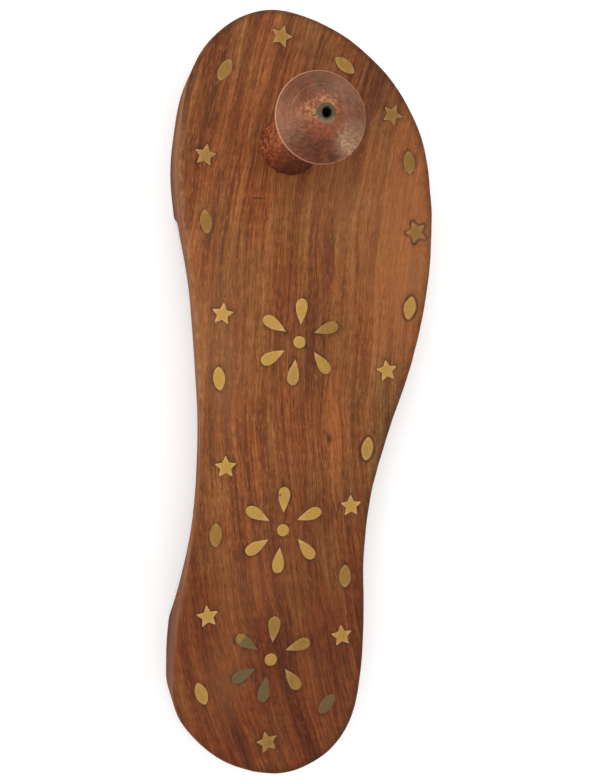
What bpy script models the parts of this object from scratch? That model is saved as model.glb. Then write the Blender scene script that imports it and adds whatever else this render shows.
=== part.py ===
"""A carved wooden toe knob sandal for the right foot, with brass inlays.

The sandal stands on the floor at z = 0 with its toe toward +Y and its outer side toward +X.
Its origin lies on the floor under the middle of its length and width.
"""

import math
from typing import NamedTuple

import bmesh
import bpy
from mathutils import Matrix, Vector

# Sole, in metres
SOLE_LENGTH = 0.260
BALL_WIDTH = 0.0885
SOLE_HEIGHT = 0.0265
ARCH_THICKNESS = 0.010
TOE_BLOCK_LENGTH = 0.067
HEEL_BLOCK_LENGTH = 0.050
TOE_SPRING_LENGTH = 0.030
TOE_SPRING_RISE = 0.003
DECK_EDGE_RADIUS = 0.0012
FLOOR_EDGE_CHAMFER = 0.0008

# Toe knob, in metres, with heights above the deck
KNOB_HEIGHT = 0.050
CAP_DIAMETER = 0.0278
CAP_RISE = 0.0058
CAP_EDGE = 0.0014
CAP_COVE = 0.0055
STEM_DIAMETER = 0.0192
TENON_DIAMETER = 0.012
TENON_LENGTH = 0.016
NUB_DIAMETER = 0.0064
NUB_HEIGHT = 0.0010
CENTRE_HOLE_DIAMETER = 0.0025
CENTRE_HOLE_DEPTH = 0.008

# Brass inlays, in metres
INLAY_THICKNESS = 0.0012
STAR_RADIUS = 0.0040
LEAF_LENGTH = 0.0081
LEAF_WIDTH = 0.0041
PETAL_LENGTH = 0.0091
PETAL_WIDTH = 0.0041
PETAL_START = 0.0058
DOT_DIAMETER = 0.0042

# Gap left between a piece and the wood that holds it
CLEARANCE = 0.0003
# How far a cutter reaches past the wood that it cuts
CUTTER_MARGIN = 0.002

# Fineness of the round stretches
OUTLINE_STEPS = 5
PROFILE_STEPS = 3
EDGE_STEPS = 3
KNOB_SEGMENTS = 48
CAP_STEPS = 6
COVE_STEPS = 5
LEAF_POINTS = 14
PETAL_POINTS = 14
DOT_POINTS = 16

# Forms of the inlays, as shares and powers
STAR_TIPS = 5
STAR_WAIST = 0.45
LEAF_POINTEDNESS = 0.35
PETAL_POINTEDNESS = 1.3
# How hollow the cap's cone is, where 1 is a straight cone
CAP_HOLLOW = 1.3


class OutlinePoint(NamedTuple):
    """A point of the deck's outline.

    along is a share of the length, from the heel. across is a share of the ball width, from the
    middle, and it is negative toward the big toe.
    """

    along: float
    across: float


class ProfilePoint(NamedTuple):
    """A point of the arch under the sole.

    back is a share of the arch's length, from the toe block. up is a share of the arch's rise.
    """

    back: float
    up: float


class Spot(NamedTuple):
    """Where an inlay lies, in the outline's shares, and how many degrees it turns to the left."""

    along: float
    across: float
    turn: float


class Petal(NamedTuple):
    """A petal's direction from its dot, in degrees to the left of the toe, and its own lean."""

    direction: float
    lean: float


# The deck's outline, from the toe round the outer side to the heel and back up the inner side
OUTLINE = (
    OutlinePoint(1.000, -0.111),
    OutlinePoint(0.982, 0.098),
    OutlinePoint(0.944, 0.270),
    OutlinePoint(0.905, 0.376),
    OutlinePoint(0.843, 0.471),
    OutlinePoint(0.765, 0.510),
    OutlinePoint(0.716, 0.514),
    OutlinePoint(0.630, 0.491),
    OutlinePoint(0.544, 0.433),
    OutlinePoint(0.458, 0.344),
    OutlinePoint(0.373, 0.271),
    OutlinePoint(0.288, 0.239),
    OutlinePoint(0.200, 0.238),
    OutlinePoint(0.135, 0.228),
    OutlinePoint(0.071, 0.192),
    OutlinePoint(0.030, 0.114),
    OutlinePoint(0.006, -0.001),
    OutlinePoint(0.000, -0.129),
    OutlinePoint(0.021, -0.318),
    OutlinePoint(0.060, -0.447),
    OutlinePoint(0.096, -0.508),
    OutlinePoint(0.138, -0.514),
    OutlinePoint(0.190, -0.503),
    OutlinePoint(0.256, -0.471),
    OutlinePoint(0.339, -0.428),
    OutlinePoint(0.442, -0.407),
    OutlinePoint(0.545, -0.417),
    OutlinePoint(0.648, -0.440),
    OutlinePoint(0.735, -0.472),
    OutlinePoint(0.796, -0.486),
    OutlinePoint(0.849, -0.475),
    OutlinePoint(0.910, -0.440),
    OutlinePoint(0.951, -0.376),
    OutlinePoint(0.987, -0.254),
)

# The arch, from the steep back of the toe block to the long scoop in front of the heel block
ARCH_PROFILE = (
    ProfilePoint(0.000, 0.00),
    ProfilePoint(0.012, 0.30),
    ProfilePoint(0.022, 0.50),
    ProfilePoint(0.060, 0.66),
    ProfilePoint(0.120, 0.86),
    ProfilePoint(0.190, 0.98),
    ProfilePoint(0.260, 1.00),
    ProfilePoint(0.760, 1.00),
    ProfilePoint(0.830, 0.94),
    ProfilePoint(0.890, 0.74),
    ProfilePoint(0.940, 0.46),
    ProfilePoint(0.975, 0.20),
    ProfilePoint(1.000, 0.00),
)

KNOB_SPOT = Spot(0.828, -0.061, 0.0)

STARS = (
    Spot(0.966, -0.093, -17.0),
    Spot(0.873, 0.347, -25.0),
    Spot(0.810, -0.385, -11.0),
    Spot(0.719, 0.447, 22.0),
    Spot(0.608, -0.322, -8.0),
    Spot(0.534, 0.328, 8.0),
    Spot(0.410, -0.312, 0.0),
    Spot(0.354, 0.183, 1.0),
    Spot(0.216, -0.383, 7.0),
    Spot(0.180, 0.146, 6.0),
    Spot(0.044, -0.153, 14.0),
)

LEAVES = (
    Spot(0.919, -0.310, -30.0),
    Spot(0.934, 0.155, 54.0),
    Spot(0.811, 0.417, 5.0),
    Spot(0.726, -0.383, 6.0),
    Spot(0.618, 0.422, -12.0),
    Spot(0.525, -0.336, 4.0),
    Spot(0.430, 0.249, -8.0),
    Spot(0.322, -0.351, -1.0),
    Spot(0.260, 0.159, 0.0),
    Spot(0.115, -0.408, 20.0),
    Spot(0.089, 0.086, -40.0),
)

FLOWERS = (
    Spot(0.572, -0.024, 0.0),
    Spot(0.325, -0.089, 2.0),
    Spot(0.154, -0.138, -2.0),
)

PETALS = (
    Petal(-4.0, 0.0),
    Petal(-64.0, -8.0),
    Petal(-132.0, -12.0),
    Petal(169.0, 3.0),
    Petal(118.0, 0.0),
    Petal(55.0, 3.0),
)


def clear_scene():
    """Remove every object that the file starts with."""
    for thing in list(bpy.data.objects):
        bpy.data.objects.remove(thing, do_unlink=True)


def linear(red, green, blue):
    """Turn a colour as seen on a screen, 0 to 255 each, into the shader's linear values."""
    channels = []
    for value in (red, green, blue):
        share = value / 255.0
        channels.append(share / 12.92 if share <= 0.04045 else ((share + 0.055) / 1.055) ** 2.4)
    return (*channels, 1.0)


def make_material(name, colour, roughness, metallic=0.0):
    """Make a plain Principled material."""
    material = bpy.data.materials.new(name)
    material.use_nodes = True
    shader = material.node_tree.nodes["Principled BSDF"]
    shader.inputs["Base Color"].default_value = colour
    shader.inputs["Roughness"].default_value = roughness
    shader.inputs["Metallic"].default_value = metallic
    material.diffuse_color = colour
    return material


def place(along, across, height=0.0):
    """Turn shares of the length and the ball width into a point of the sandal."""
    return Vector((across * BALL_WIDTH, (along - 0.5) * SOLE_LENGTH, height))


def spot_matrix(spot, height):
    """Give the matrix that carries a shape drawn about the origin to its spot on the sandal."""
    turn = Matrix.Rotation(math.radians(spot.turn), 4, "Z")
    return Matrix.Translation(place(spot.along, spot.across, height)) @ turn


def curve_point(before, start, end, after, share):
    """Give a point of the smooth stretch from start to end, which bends toward its neighbours."""
    knots = [0.0]
    row = (before, start, end, after)
    for first, second in zip(row, row[1:]):
        knots.append(knots[-1] + math.sqrt((second - first).length))
    at = knots[1] + (knots[2] - knots[1]) * share

    def blend(first, second, low, high):
        return first.lerp(second, (at - low) / (high - low))

    near = blend(before, start, knots[0], knots[1])
    middle = blend(start, end, knots[1], knots[2])
    far = blend(end, after, knots[2], knots[3])
    left = blend(near, middle, knots[0], knots[2])
    right = blend(middle, far, knots[1], knots[3])
    return blend(left, right, knots[1], knots[2])


def smooth_loop(points, steps):
    """Give a closed smooth line through the points, with some steps from each to the next."""
    count = len(points)
    line = []
    for index in range(count):
        row = [points[(index + offset) % count] for offset in (-1, 0, 1, 2)]
        line.extend(curve_point(*row, step / steps) for step in range(steps))
    return line


def smooth_line(points, steps):
    """Give an open smooth line through the points, with some steps from each to the next."""
    first = points[0] * 2.0 - points[1]
    last = points[-1] * 2.0 - points[-2]
    padded = [first, *points, last]
    line = []
    for index in range(len(points) - 1):
        row = padded[index:index + 4]
        line.extend(curve_point(*row, step / steps) for step in range(steps))
    line.append(points[-1])
    return line


def grow(outline, distance):
    """Move each side of a closed outline outward by a distance, and keep its corners sharp."""
    count = len(outline)
    area = sum(a.x * b.y - b.x * a.y for a, b in zip(outline, outline[1:] + outline[:1]))
    side = 1.0 if area > 0.0 else -1.0
    grown = []
    for index, point in enumerate(outline):
        into = (point - outline[index - 1]).normalized()
        away = (outline[(index + 1) % count] - point).normalized()
        normal_in = Vector((into.y, -into.x)) * side
        normal_out = Vector((away.y, -away.x)) * side
        reach = distance / (1.0 + normal_in.dot(normal_out))
        grown.append(point + (normal_in + normal_out) * reach)
    return grown


def add_rings(mesh, rings):
    """Add one closed body whose skin runs over the rings, from the first to the last."""
    loops = [[mesh.verts.new(point) for point in ring] for ring in rings]
    count = len(loops[0])
    faces = [mesh.faces.new(loops[0]), mesh.faces.new(loops[-1])]
    for lower, upper in zip(loops, loops[1:]):
        for index in range(count):
            following = (index + 1) % count
            corners = (lower[index], lower[following], upper[following], upper[index])
            faces.append(mesh.faces.new(corners))
    bmesh.ops.recalc_face_normals(mesh, faces=faces)


def ring_mesh(name, bodies, material, sharp_angle=35.0):
    """Make a mesh of closed bodies, each given as its rings, shaded smooth with sharp edges."""
    mesh = bmesh.new()
    for rings in bodies:
        add_rings(mesh, rings)
    data = bpy.data.meshes.new(name)
    mesh.to_mesh(data)
    mesh.free()
    data.materials.append(material)
    data.shade_smooth()
    data.set_sharp_from_angle(angle=math.radians(sharp_angle))
    return data


def add_object(name, data, parent, matrix=None):
    """Place a mesh in the scene under its parent."""
    thing = bpy.data.objects.new(name, data)
    bpy.context.scene.collection.objects.link(thing)
    thing.parent = parent
    if matrix is not None:
        thing.matrix_local = matrix
    return thing


def add_cutter(name, bodies, material, parent):
    """Place a hidden body that a Boolean takes away from another."""
    cutter = add_object(name, ring_mesh(name, bodies, material), parent)
    cutter.hide_render = True
    cutter.display_type = "WIRE"
    return cutter


def cut(target, cutter):
    """Take a cutter away from a target."""
    modifier = target.modifiers.new(cutter.name, "BOOLEAN")
    modifier.operation = "DIFFERENCE"
    modifier.solver = "EXACT"
    modifier.object = cutter


def flat_rings(outline, matrix, *heights):
    """Repeat an outline at some heights, carried by a matrix."""
    return [[matrix @ Vector((point.x, point.y, height)) for point in outline] for height in heights]


def deck_outline():
    """Give the deck's closed outline in metres."""
    points = [place(point.along, point.across).to_2d() for point in OUTLINE]
    return smooth_loop(points, OUTLINE_STEPS)


def sole_rings():
    """Give the sole's block as rings, from its chamfered foot to its rounded deck edge."""
    outline = deck_outline()
    levels = [(FLOOR_EDGE_CHAMFER, 0.0), (0.0, FLOOR_EDGE_CHAMFER)]
    for step in range(EDGE_STEPS + 1):
        angle = 0.5 * math.pi * step / EDGE_STEPS
        inset = DECK_EDGE_RADIUS * (1.0 - math.cos(angle))
        height = SOLE_HEIGHT - DECK_EDGE_RADIUS * (1.0 - math.sin(angle))
        levels.append((inset, height))
    rings = []
    for inset, height in levels:
        rings.extend(flat_rings(grow(outline, -inset), Matrix.Identity(4), height))
    return rings


def across_rings(side_view):
    """Run a side view, whose points are (y, z), right across the sandal."""
    sides = (-BALL_WIDTH, BALL_WIDTH)
    return [[Vector((x, point.x, point.y)) for point in side_view] for x in sides]


def arch_rings():
    """Give the body that scoops the arch out from between the toe block and the heel block."""
    front = 0.5 * SOLE_LENGTH - TOE_BLOCK_LENGTH
    length = SOLE_LENGTH - TOE_BLOCK_LENGTH - HEEL_BLOCK_LENGTH
    rise = SOLE_HEIGHT - ARCH_THICKNESS
    points = [Vector((front - point.back * length, point.up * rise)) for point in ARCH_PROFILE]
    side_view = smooth_line(points, PROFILE_STEPS)
    side_view.append(Vector((side_view[-1].x, -CUTTER_MARGIN)))
    side_view.append(Vector((side_view[0].x, -CUTTER_MARGIN)))
    return across_rings(side_view)


def toe_spring_rings():
    """Give the body that lets the underside rise toward the toe."""
    start = 0.5 * SOLE_LENGTH - TOE_SPRING_LENGTH
    end = 0.5 * SOLE_LENGTH + CUTTER_MARGIN
    side_view = [Vector((start, -CUTTER_MARGIN))]
    for step in range(2 * PROFILE_STEPS + 1):
        y = start + (end - start) * step / (2 * PROFILE_STEPS)
        share = (y - start) / TOE_SPRING_LENGTH
        side_view.append(Vector((y, TOE_SPRING_RISE * share ** 2)))
    side_view.append(Vector((end, -CUTTER_MARGIN)))
    return across_rings(side_view)


def star_outline():
    """Draw a five-pointed star about the origin, one tip toward the toe."""
    points = []
    for index in range(2 * STAR_TIPS):
        radius = STAR_RADIUS * (STAR_WAIST if index % 2 else 1.0)
        angle = math.pi * index / STAR_TIPS
        points.append(Vector((-radius * math.sin(angle), radius * math.cos(angle))))
    return points


def leaf_outline():
    """Draw a pointed oval about the origin, its tips toward the toe and the heel."""
    points = []
    for index in range(LEAF_POINTS):
        angle = 2.0 * math.pi * index / LEAF_POINTS
        bulge = math.sin(angle) * abs(math.sin(angle)) ** LEAF_POINTEDNESS
        points.append(Vector((-0.5 * LEAF_WIDTH * bulge, 0.5 * LEAF_LENGTH * math.cos(angle))))
    return points


def petal_outline():
    """Draw a teardrop about the origin, its tip toward the heel and its round end forward."""
    angles = [2.0 * math.pi * index / PETAL_POINTS for index in range(PETAL_POINTS)]
    bulges = [math.sin(angle) * abs(math.sin(0.5 * angle)) ** PETAL_POINTEDNESS for angle in angles]
    widest = max(bulges)
    points = []
    for angle, bulge in zip(angles, bulges):
        x = 0.5 * PETAL_WIDTH * bulge / widest
        points.append(Vector((x, -0.5 * PETAL_LENGTH * math.cos(angle))))
    return points


def dot_outline():
    """Draw a round dot about the origin."""
    points = []
    for index in range(DOT_POINTS):
        angle = 2.0 * math.pi * index / DOT_POINTS
        points.append(Vector((math.cos(angle), math.sin(angle))) * (0.5 * DOT_DIAMETER))
    return points


def petal_matrix(flower, petal):
    """Give the matrix that carries a petal to its place round a flower's dot."""
    outward = Matrix.Rotation(math.radians(petal.direction), 4, "Z")
    step = Matrix.Translation((0.0, PETAL_START + 0.5 * PETAL_LENGTH, 0.0))
    lean = Matrix.Rotation(math.radians(petal.lean), 4, "Z")
    return spot_matrix(flower, SOLE_HEIGHT) @ outward @ step @ lean


def inlay_list():
    """List every inlay as its node name, its kind and the matrix of its place on the deck."""
    inlays = []
    for number, spot in enumerate(STARS, start=1):
        inlays.append((f"star_inlay_{number:02d}", "star", spot_matrix(spot, SOLE_HEIGHT)))
    for number, spot in enumerate(LEAVES, start=1):
        inlays.append((f"leaf_inlay_{number:02d}", "leaf", spot_matrix(spot, SOLE_HEIGHT)))
    for number, flower in enumerate(FLOWERS, start=1):
        inlays.append((f"flower_{number}_dot", "dot", spot_matrix(flower, SOLE_HEIGHT)))
        for index, petal in enumerate(PETALS, start=1):
            inlays.append((f"flower_{number}_petal_{index}", "petal", petal_matrix(flower, petal)))
    return inlays


def knob_profile():
    """Give the toe knob's turned profile as (radius, height), from the tenon's foot to the hole."""
    deck = SOLE_HEIGHT
    cap_radius = 0.5 * CAP_DIAMETER
    stem_radius = 0.5 * STEM_DIAMETER
    nub_radius = 0.5 * NUB_DIAMETER
    top = deck + KNOB_HEIGHT
    rim = top - NUB_HEIGHT - CAP_RISE
    under_rim = rim - CAP_EDGE

    profile = [
        (0.5 * TENON_DIAMETER, deck - TENON_LENGTH),
        (0.5 * TENON_DIAMETER, deck + CLEARANCE),
        (stem_radius, deck + CLEARANCE),
    ]
    for step in range(COVE_STEPS + 1):
        angle = 0.5 * math.pi * (1.0 - step / COVE_STEPS)
        radius = cap_radius - (cap_radius - stem_radius) * math.sin(angle)
        profile.append((radius, under_rim - CAP_COVE * (1.0 - math.cos(angle))))
    profile.append((cap_radius, rim))
    for step in range(1, CAP_STEPS + 1):
        share = step / CAP_STEPS
        radius = cap_radius + (nub_radius - cap_radius) * share
        profile.append((radius, rim + CAP_RISE * share ** CAP_HOLLOW))
    hole_radius = 0.5 * CENTRE_HOLE_DIAMETER
    profile.append((0.5 * (nub_radius + hole_radius), top))
    profile.append((hole_radius, top))
    profile.append((hole_radius, top - CENTRE_HOLE_DEPTH))
    return profile


def turned_rings(profile, centre):
    """Spin a profile of (radius, height) about a centre into rings."""
    rings = []
    for radius, height in profile:
        ring = []
        for index in range(KNOB_SEGMENTS):
            angle = 2.0 * math.pi * index / KNOB_SEGMENTS
            offset = Vector((radius * math.cos(angle), radius * math.sin(angle), height))
            ring.append(centre + offset)
        rings.append(ring)
    return rings


def mortise_rings():
    """Give the round hole in the toe block that takes the knob's tenon."""
    radius = 0.5 * TENON_DIAMETER + CLEARANCE
    foot = SOLE_HEIGHT - TENON_LENGTH - CLEARANCE
    profile = [(radius, foot), (radius, SOLE_HEIGHT + CUTTER_MARGIN)]
    return turned_rings(profile, place(KNOB_SPOT.along, KNOB_SPOT.across))


def build_sole(material, outlines, inlays, parent):
    """Carve the sole: the block, its arch and toe spring, the mortise and the inlay pockets."""
    sole = add_object("sole", ring_mesh("sole", [sole_rings()], material), parent)
    underside = [arch_rings(), toe_spring_rings()]
    cut(sole, add_cutter("underside_cutter", underside, material, parent))
    cut(sole, add_cutter("mortise_cutter", [mortise_rings()], material, parent))
    floor = -INLAY_THICKNESS - CLEARANCE
    pockets = []
    for _, kind, matrix in inlays:
        pockets.append(flat_rings(grow(outlines[kind], CLEARANCE), matrix, floor, CUTTER_MARGIN))
    cut(sole, add_cutter("pocket_cutter", pockets, material, parent))


def build_knob(material, parent):
    """Turn the toe knob and stand it in its mortise."""
    rings = turned_rings(knob_profile(), Vector())
    data = ring_mesh("toe_knob", [rings], material)
    matrix = Matrix.Translation(place(KNOB_SPOT.along, KNOB_SPOT.across))
    add_object("toe_knob", data, parent, matrix)


def build_inlays(material, outlines, inlays, parent):
    """Lay each brass inlay into its pocket, level with the deck."""
    meshes = {}
    for kind, outline in outlines.items():
        rings = flat_rings(outline, Matrix.Identity(4), -INLAY_THICKNESS, 0.0)
        meshes[kind] = ring_mesh(f"{kind}_inlay", [rings], material)
    for name, kind, matrix in inlays:
        add_object(name, meshes[kind], parent, matrix)


def main():
    """Build the whole sandal."""
    clear_scene()
    sole_wood = make_material("sole_wood", linear(146, 89, 57), 0.52)
    knob_wood = make_material("knob_wood", linear(134, 84, 66), 0.45)
    brass = make_material("brass", linear(196, 158, 84), 0.38, metallic=1.0)
    sandal = add_object("sandal", None, None)
    outlines = {
        "star": star_outline(),
        "leaf": leaf_outline(),
        "petal": petal_outline(),
        "dot": dot_outline(),
    }
    inlays = inlay_list()
    build_sole(sole_wood, outlines, inlays, sandal)
    build_knob(knob_wood, sandal)
    build_inlays(brass, outlines, inlays, sandal)


main()
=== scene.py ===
"""Looks of a carved wooden toe knob sandal with brass inlays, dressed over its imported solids.

Every length is in metres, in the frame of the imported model: the toe points toward +Y, the outer side
of the foot lies toward +X, and the sandal stands on the floor at z = 0.
"""

import logging
import math
from dataclasses import dataclass, field
from enum import Enum
from typing import ClassVar, Iterable, NamedTuple, Optional, Sequence, Union

import bmesh
import bpy
import numpy as np
from bpy.types import ID, Material, Mesh, Node, NodeSocket, NodeTree, Object
from mathutils import Matrix, Vector, kdtree, noise
from mathutils.geometry import delaunay_2d_cdt

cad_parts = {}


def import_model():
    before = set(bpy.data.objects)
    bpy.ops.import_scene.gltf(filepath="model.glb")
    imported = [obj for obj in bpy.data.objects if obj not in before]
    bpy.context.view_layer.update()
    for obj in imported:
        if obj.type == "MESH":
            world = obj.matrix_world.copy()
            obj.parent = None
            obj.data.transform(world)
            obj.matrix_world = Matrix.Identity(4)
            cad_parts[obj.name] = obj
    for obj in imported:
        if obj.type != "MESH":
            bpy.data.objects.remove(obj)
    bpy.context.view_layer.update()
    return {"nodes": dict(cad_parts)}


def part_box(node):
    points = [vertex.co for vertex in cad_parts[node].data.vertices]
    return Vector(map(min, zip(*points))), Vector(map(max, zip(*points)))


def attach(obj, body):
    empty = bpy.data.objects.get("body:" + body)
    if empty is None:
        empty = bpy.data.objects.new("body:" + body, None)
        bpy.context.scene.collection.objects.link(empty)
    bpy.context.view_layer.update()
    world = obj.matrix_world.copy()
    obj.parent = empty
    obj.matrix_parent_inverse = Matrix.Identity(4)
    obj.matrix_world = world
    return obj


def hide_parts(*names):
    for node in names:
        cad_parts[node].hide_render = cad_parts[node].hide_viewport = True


LOG = logging.getLogger("sandal")
BODY = "root"
# The deck's height, where the spots on it are centred
DECK_TOP = 0.0265
# How far a pocket of the deck reaches past its plate
POCKET_GAP = 0.00015
# Ways out from the knob's axis: to the big toe, to the light and to the heel
BIG_TOE_WAY = (-0.97, 0.10)
LAMP_WAY = (-0.5, 0.87)
HEEL_WAY = (0.1, -1.0)

Tint = tuple[int, int, int]
Colour = tuple[float, float, float, float]
Triple = tuple[float, float, float]
Cell = Union[float, Triple]
# Waves that a tool leaves: how wide one is along x, y and z, and the random seed
Tooling = tuple[Triple, float]
Pair = tuple[float, float]
Array = np.ndarray


def seen(tint: Tint) -> Colour:
    """Turn a colour as a screen shows it into the shader's linear values.

    Args:
        tint: Red, green and blue from 0 to 255.

    Returns:
        The linear colour with full opacity.
    """
    shares = [value / 255.0 for value in tint]
    linear = [share / 12.92 if share <= 0.04045 else ((share + 0.055) / 1.055) ** 2.4 for share in shares]
    return (*linear, 1.0)


class Cloud(NamedTuple):
    """A cloudy pattern: how wide its cells are, how much finer detail it has and how rough that is."""

    cell: Cell
    detail: float = 2.0
    rough: float = 0.5


class Wire:
    """A value that a node gives. Arithmetic with it adds nodes to the same tree."""

    def __init__(self, bench: "Bench", socket: NodeSocket) -> None:
        """Take the bench of the tree and the node's output."""
        self.bench = bench
        self.socket = socket

    def __add__(self, other: "Feed") -> "Wire":
        """Add a value."""
        return self.bench.math("ADD", self, other)

    def __sub__(self, other: "Feed") -> "Wire":
        """Take a value away."""
        return self.bench.math("SUBTRACT", self, other)

    def __mul__(self, other: "Feed") -> "Wire":
        """Multiply by a value."""
        return self.bench.math("MULTIPLY", self, other)

    __radd__ = __add__


Feed = Union[Wire, NodeSocket, float, tuple[float, ...]]


class Bench:
    """A node tree with short ways to add its nodes and to join them."""

    def __init__(self, tree: NodeTree) -> None:
        """Take the tree that the nodes go into."""
        self.tree = tree

    def feed(self, socket: NodeSocket, value: Feed) -> None:
        """Join a socket to another one, or set its own value.

        Args:
            socket: The input that takes the value.
            value: Another node's output, or a plain value.
        """
        value = value.socket if isinstance(value, Wire) else value
        if isinstance(value, NodeSocket):
            self.tree.links.new(value, socket)
        else:
            socket.default_value = value

    def add(self, kind: str, feeds: Optional[dict] = None, **settings: object) -> Node:
        """Add one node.

        Args:
            kind: The node's type.
            feeds: What goes into its inputs, by name or number.
            **settings: The node's own properties.

        Returns:
            The new node.
        """
        node = self.tree.nodes.new(kind)
        for name, value in settings.items():
            setattr(node, name, value)
        for name, value in (feeds or {}).items():
            self.feed(node.inputs[name], value)
        return node

    def give(self, kind: str, feeds: Optional[dict] = None, out: Union[int, str] = 0,
             **settings: object) -> Wire:
        """Add one node and give the output that has this name or number."""
        return Wire(self, self.add(kind, feeds, **settings).outputs[out])

    def math(self, operation: str, *values: Feed) -> Wire:
        """Work out one number from others, such as ADD or MULTIPLY."""
        return self.give("ShaderNodeMath", dict(enumerate(values)), operation=operation)

    def vector(self, operation: str, *values: Feed) -> Wire:
        """Work out a vector, or the number that a dot product or a length gives."""
        out = "Value" if operation in ("DOT_PRODUCT", "LENGTH") else "Vector"
        return self.give("ShaderNodeVectorMath", dict(enumerate(values)), out, operation=operation)

    def split(self, vector: Feed) -> list[Wire]:
        """Take a vector apart into x, y and z."""
        return [Wire(self, socket) for socket in self.add("ShaderNodeSeparateXYZ", {0: vector}).outputs]

    def join(self, x: Feed, y: Feed, z: Feed) -> Wire:
        """Put a vector together from x, y and z."""
        return self.give("ShaderNodeCombineXYZ", {0: x, 1: y, 2: z})


class Surface(Bench):
    """The node tree of one material, round its Principled shader, with the colour laid on so far."""

    def __init__(self, name: str) -> None:
        """Start a material.

        Args:
            name: Its name.
        """
        self.material = bpy.data.materials.new(name)
        self.material.use_nodes = True
        super().__init__(self.material.node_tree)
        self.shader = self.tree.nodes["Principled BSDF"]
        self.place = self.give("ShaderNodeTexCoord", out="Object")
        self.colour: Feed = seen((0, 0, 0))

    def trait(self, name: str) -> Wire:
        """Read a number that the mesh keeps at its corners."""
        return self.give("ShaderNodeAttribute", out="Fac", attribute_name=name)

    def stretch(self, vector: Feed, sizes: Cell, centre: Triple = (0.0, 0.0, 0.0)) -> Wire:
        """Measure a place from a centre.

        Args:
            vector: The place.
            sizes: How wide one cell is, alike all round or along x, y and z.
            centre: The point that becomes zero.

        Returns:
            The place in cells.
        """
        sizes = sizes if isinstance(sizes, tuple) else (sizes, sizes, sizes)
        feeds = {"Vector": vector, "Location": centre, "Scale": sizes}
        return self.give("ShaderNodeMapping", feeds, vector_type="TEXTURE")

    def cloud(self, vector: Feed, kind: Cloud) -> Wire:
        """Give a cloudy value about 0.5.

        Args:
            vector: The place.
            kind: The pattern.

        Returns:
            The value.
        """
        place = self.stretch(vector, kind.cell)
        feeds = {"Vector": place, "Scale": 1.0, "Detail": kind.detail, "Roughness": kind.rough}
        return self.give("ShaderNodeTexNoise", feeds)

    def step(self, value: Feed, low: float, high: float, top: float = 1.0) -> Wire:
        """Rise smoothly from 0 at one value to the top at another.

        Args:
            value: The number to judge.
            low: Where the rise starts. It may be above high, and then the result falls.
            high: Where the rise ends.
            top: What the result rises to.

        Returns:
            The result.
        """
        feeds = {"Value": value, "From Min": low, "From Max": high, "To Max": top}
        return self.give("ShaderNodeMapRange", feeds, interpolation_type="SMOOTHSTEP")

    def blob(self, sizes: Triple, centre: Triple) -> Wire:
        """Give a soft round patch: 1 at its centre, and fading to 0 beyond its size."""
        near = self.stretch(self.place, sizes, centre)
        return self.math("EXPONENT", self.vector("DOT_PRODUCT", near, near) * -1.0)

    def mix(self, share: Feed, first: Feed, second: Feed, blend: str = "MIX") -> Wire:
        """Lay one colour over another.

        Args:
            share: How much of the second colour shows, from 0 to 1.
            first: The colour below, as a node's output or a tint.
            second: The colour on top.
            blend: How the two combine.

        Returns:
            The mixed colour.
        """
        below, above = (seen(side) if isinstance(side, tuple) else side for side in (first, second))
        feeds = {0: share, 6: below, 7: above}
        return self.give("ShaderNodeMix", feeds, 2, data_type="RGBA", blend_type=blend, clamp_factor=True)

    def coat(self, share: Feed, over: Feed, blend: str = "MIX") -> None:
        """Lay a share of a colour over what is laid on so far."""
        self.colour = self.mix(share, self.colour, over, blend)

    def ramp(self, share: Feed, stops: Sequence[tuple[float, Tint]]) -> None:
        """Start with a row of colours.

        Args:
            share: Where in the row to look, from 0 to 1.
            stops: The colours and their places.
        """
        node = self.add("ShaderNodeValToRGB", {0: share})
        points = node.color_ramp.elements
        while len(points) < len(stops):
            points.new(0.5)
        for point, (place, tint) in zip(points, stops):
            point.position = place
            point.color = seen(tint)
        self.colour = Wire(self, node.outputs[0])

    def relief(self, height: Feed, depth: float, below: Optional[Feed] = None) -> Wire:
        """Turn a height into small bumps.

        Args:
            height: The height, from 0 to 1.
            depth: How tall a height of 1 is.
            below: The bumps that these lie on, if any.

        Returns:
            The bent normal.
        """
        feeds = {"Height": height, "Distance": depth, "Strength": 1.0}
        if below is not None:
            feeds["Normal"] = below
        return self.give("ShaderNodeBump", feeds)

    def finish(self, roughness: Feed, normal: Optional[Feed] = None, specular: float = 0.5,
               metallic: float = 0.0) -> Material:
        """Join everything to the shader.

        Args:
            roughness: The roughness, from 0 to 1.
            normal: The bent normal, if the surface has bumps.
            specular: How strongly it mirrors.
            metallic: How much of it is bare metal.

        Returns:
            The finished material.
        """
        feeds = {"Base Color": self.colour, "Roughness": roughness, "Specular IOR Level": specular,
                 "Metallic": metallic}
        if normal is not None:
            feeds["Normal"] = normal
        for name, value in feeds.items():
            self.feed(self.shader.inputs[name], value)
        return self.material


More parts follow.
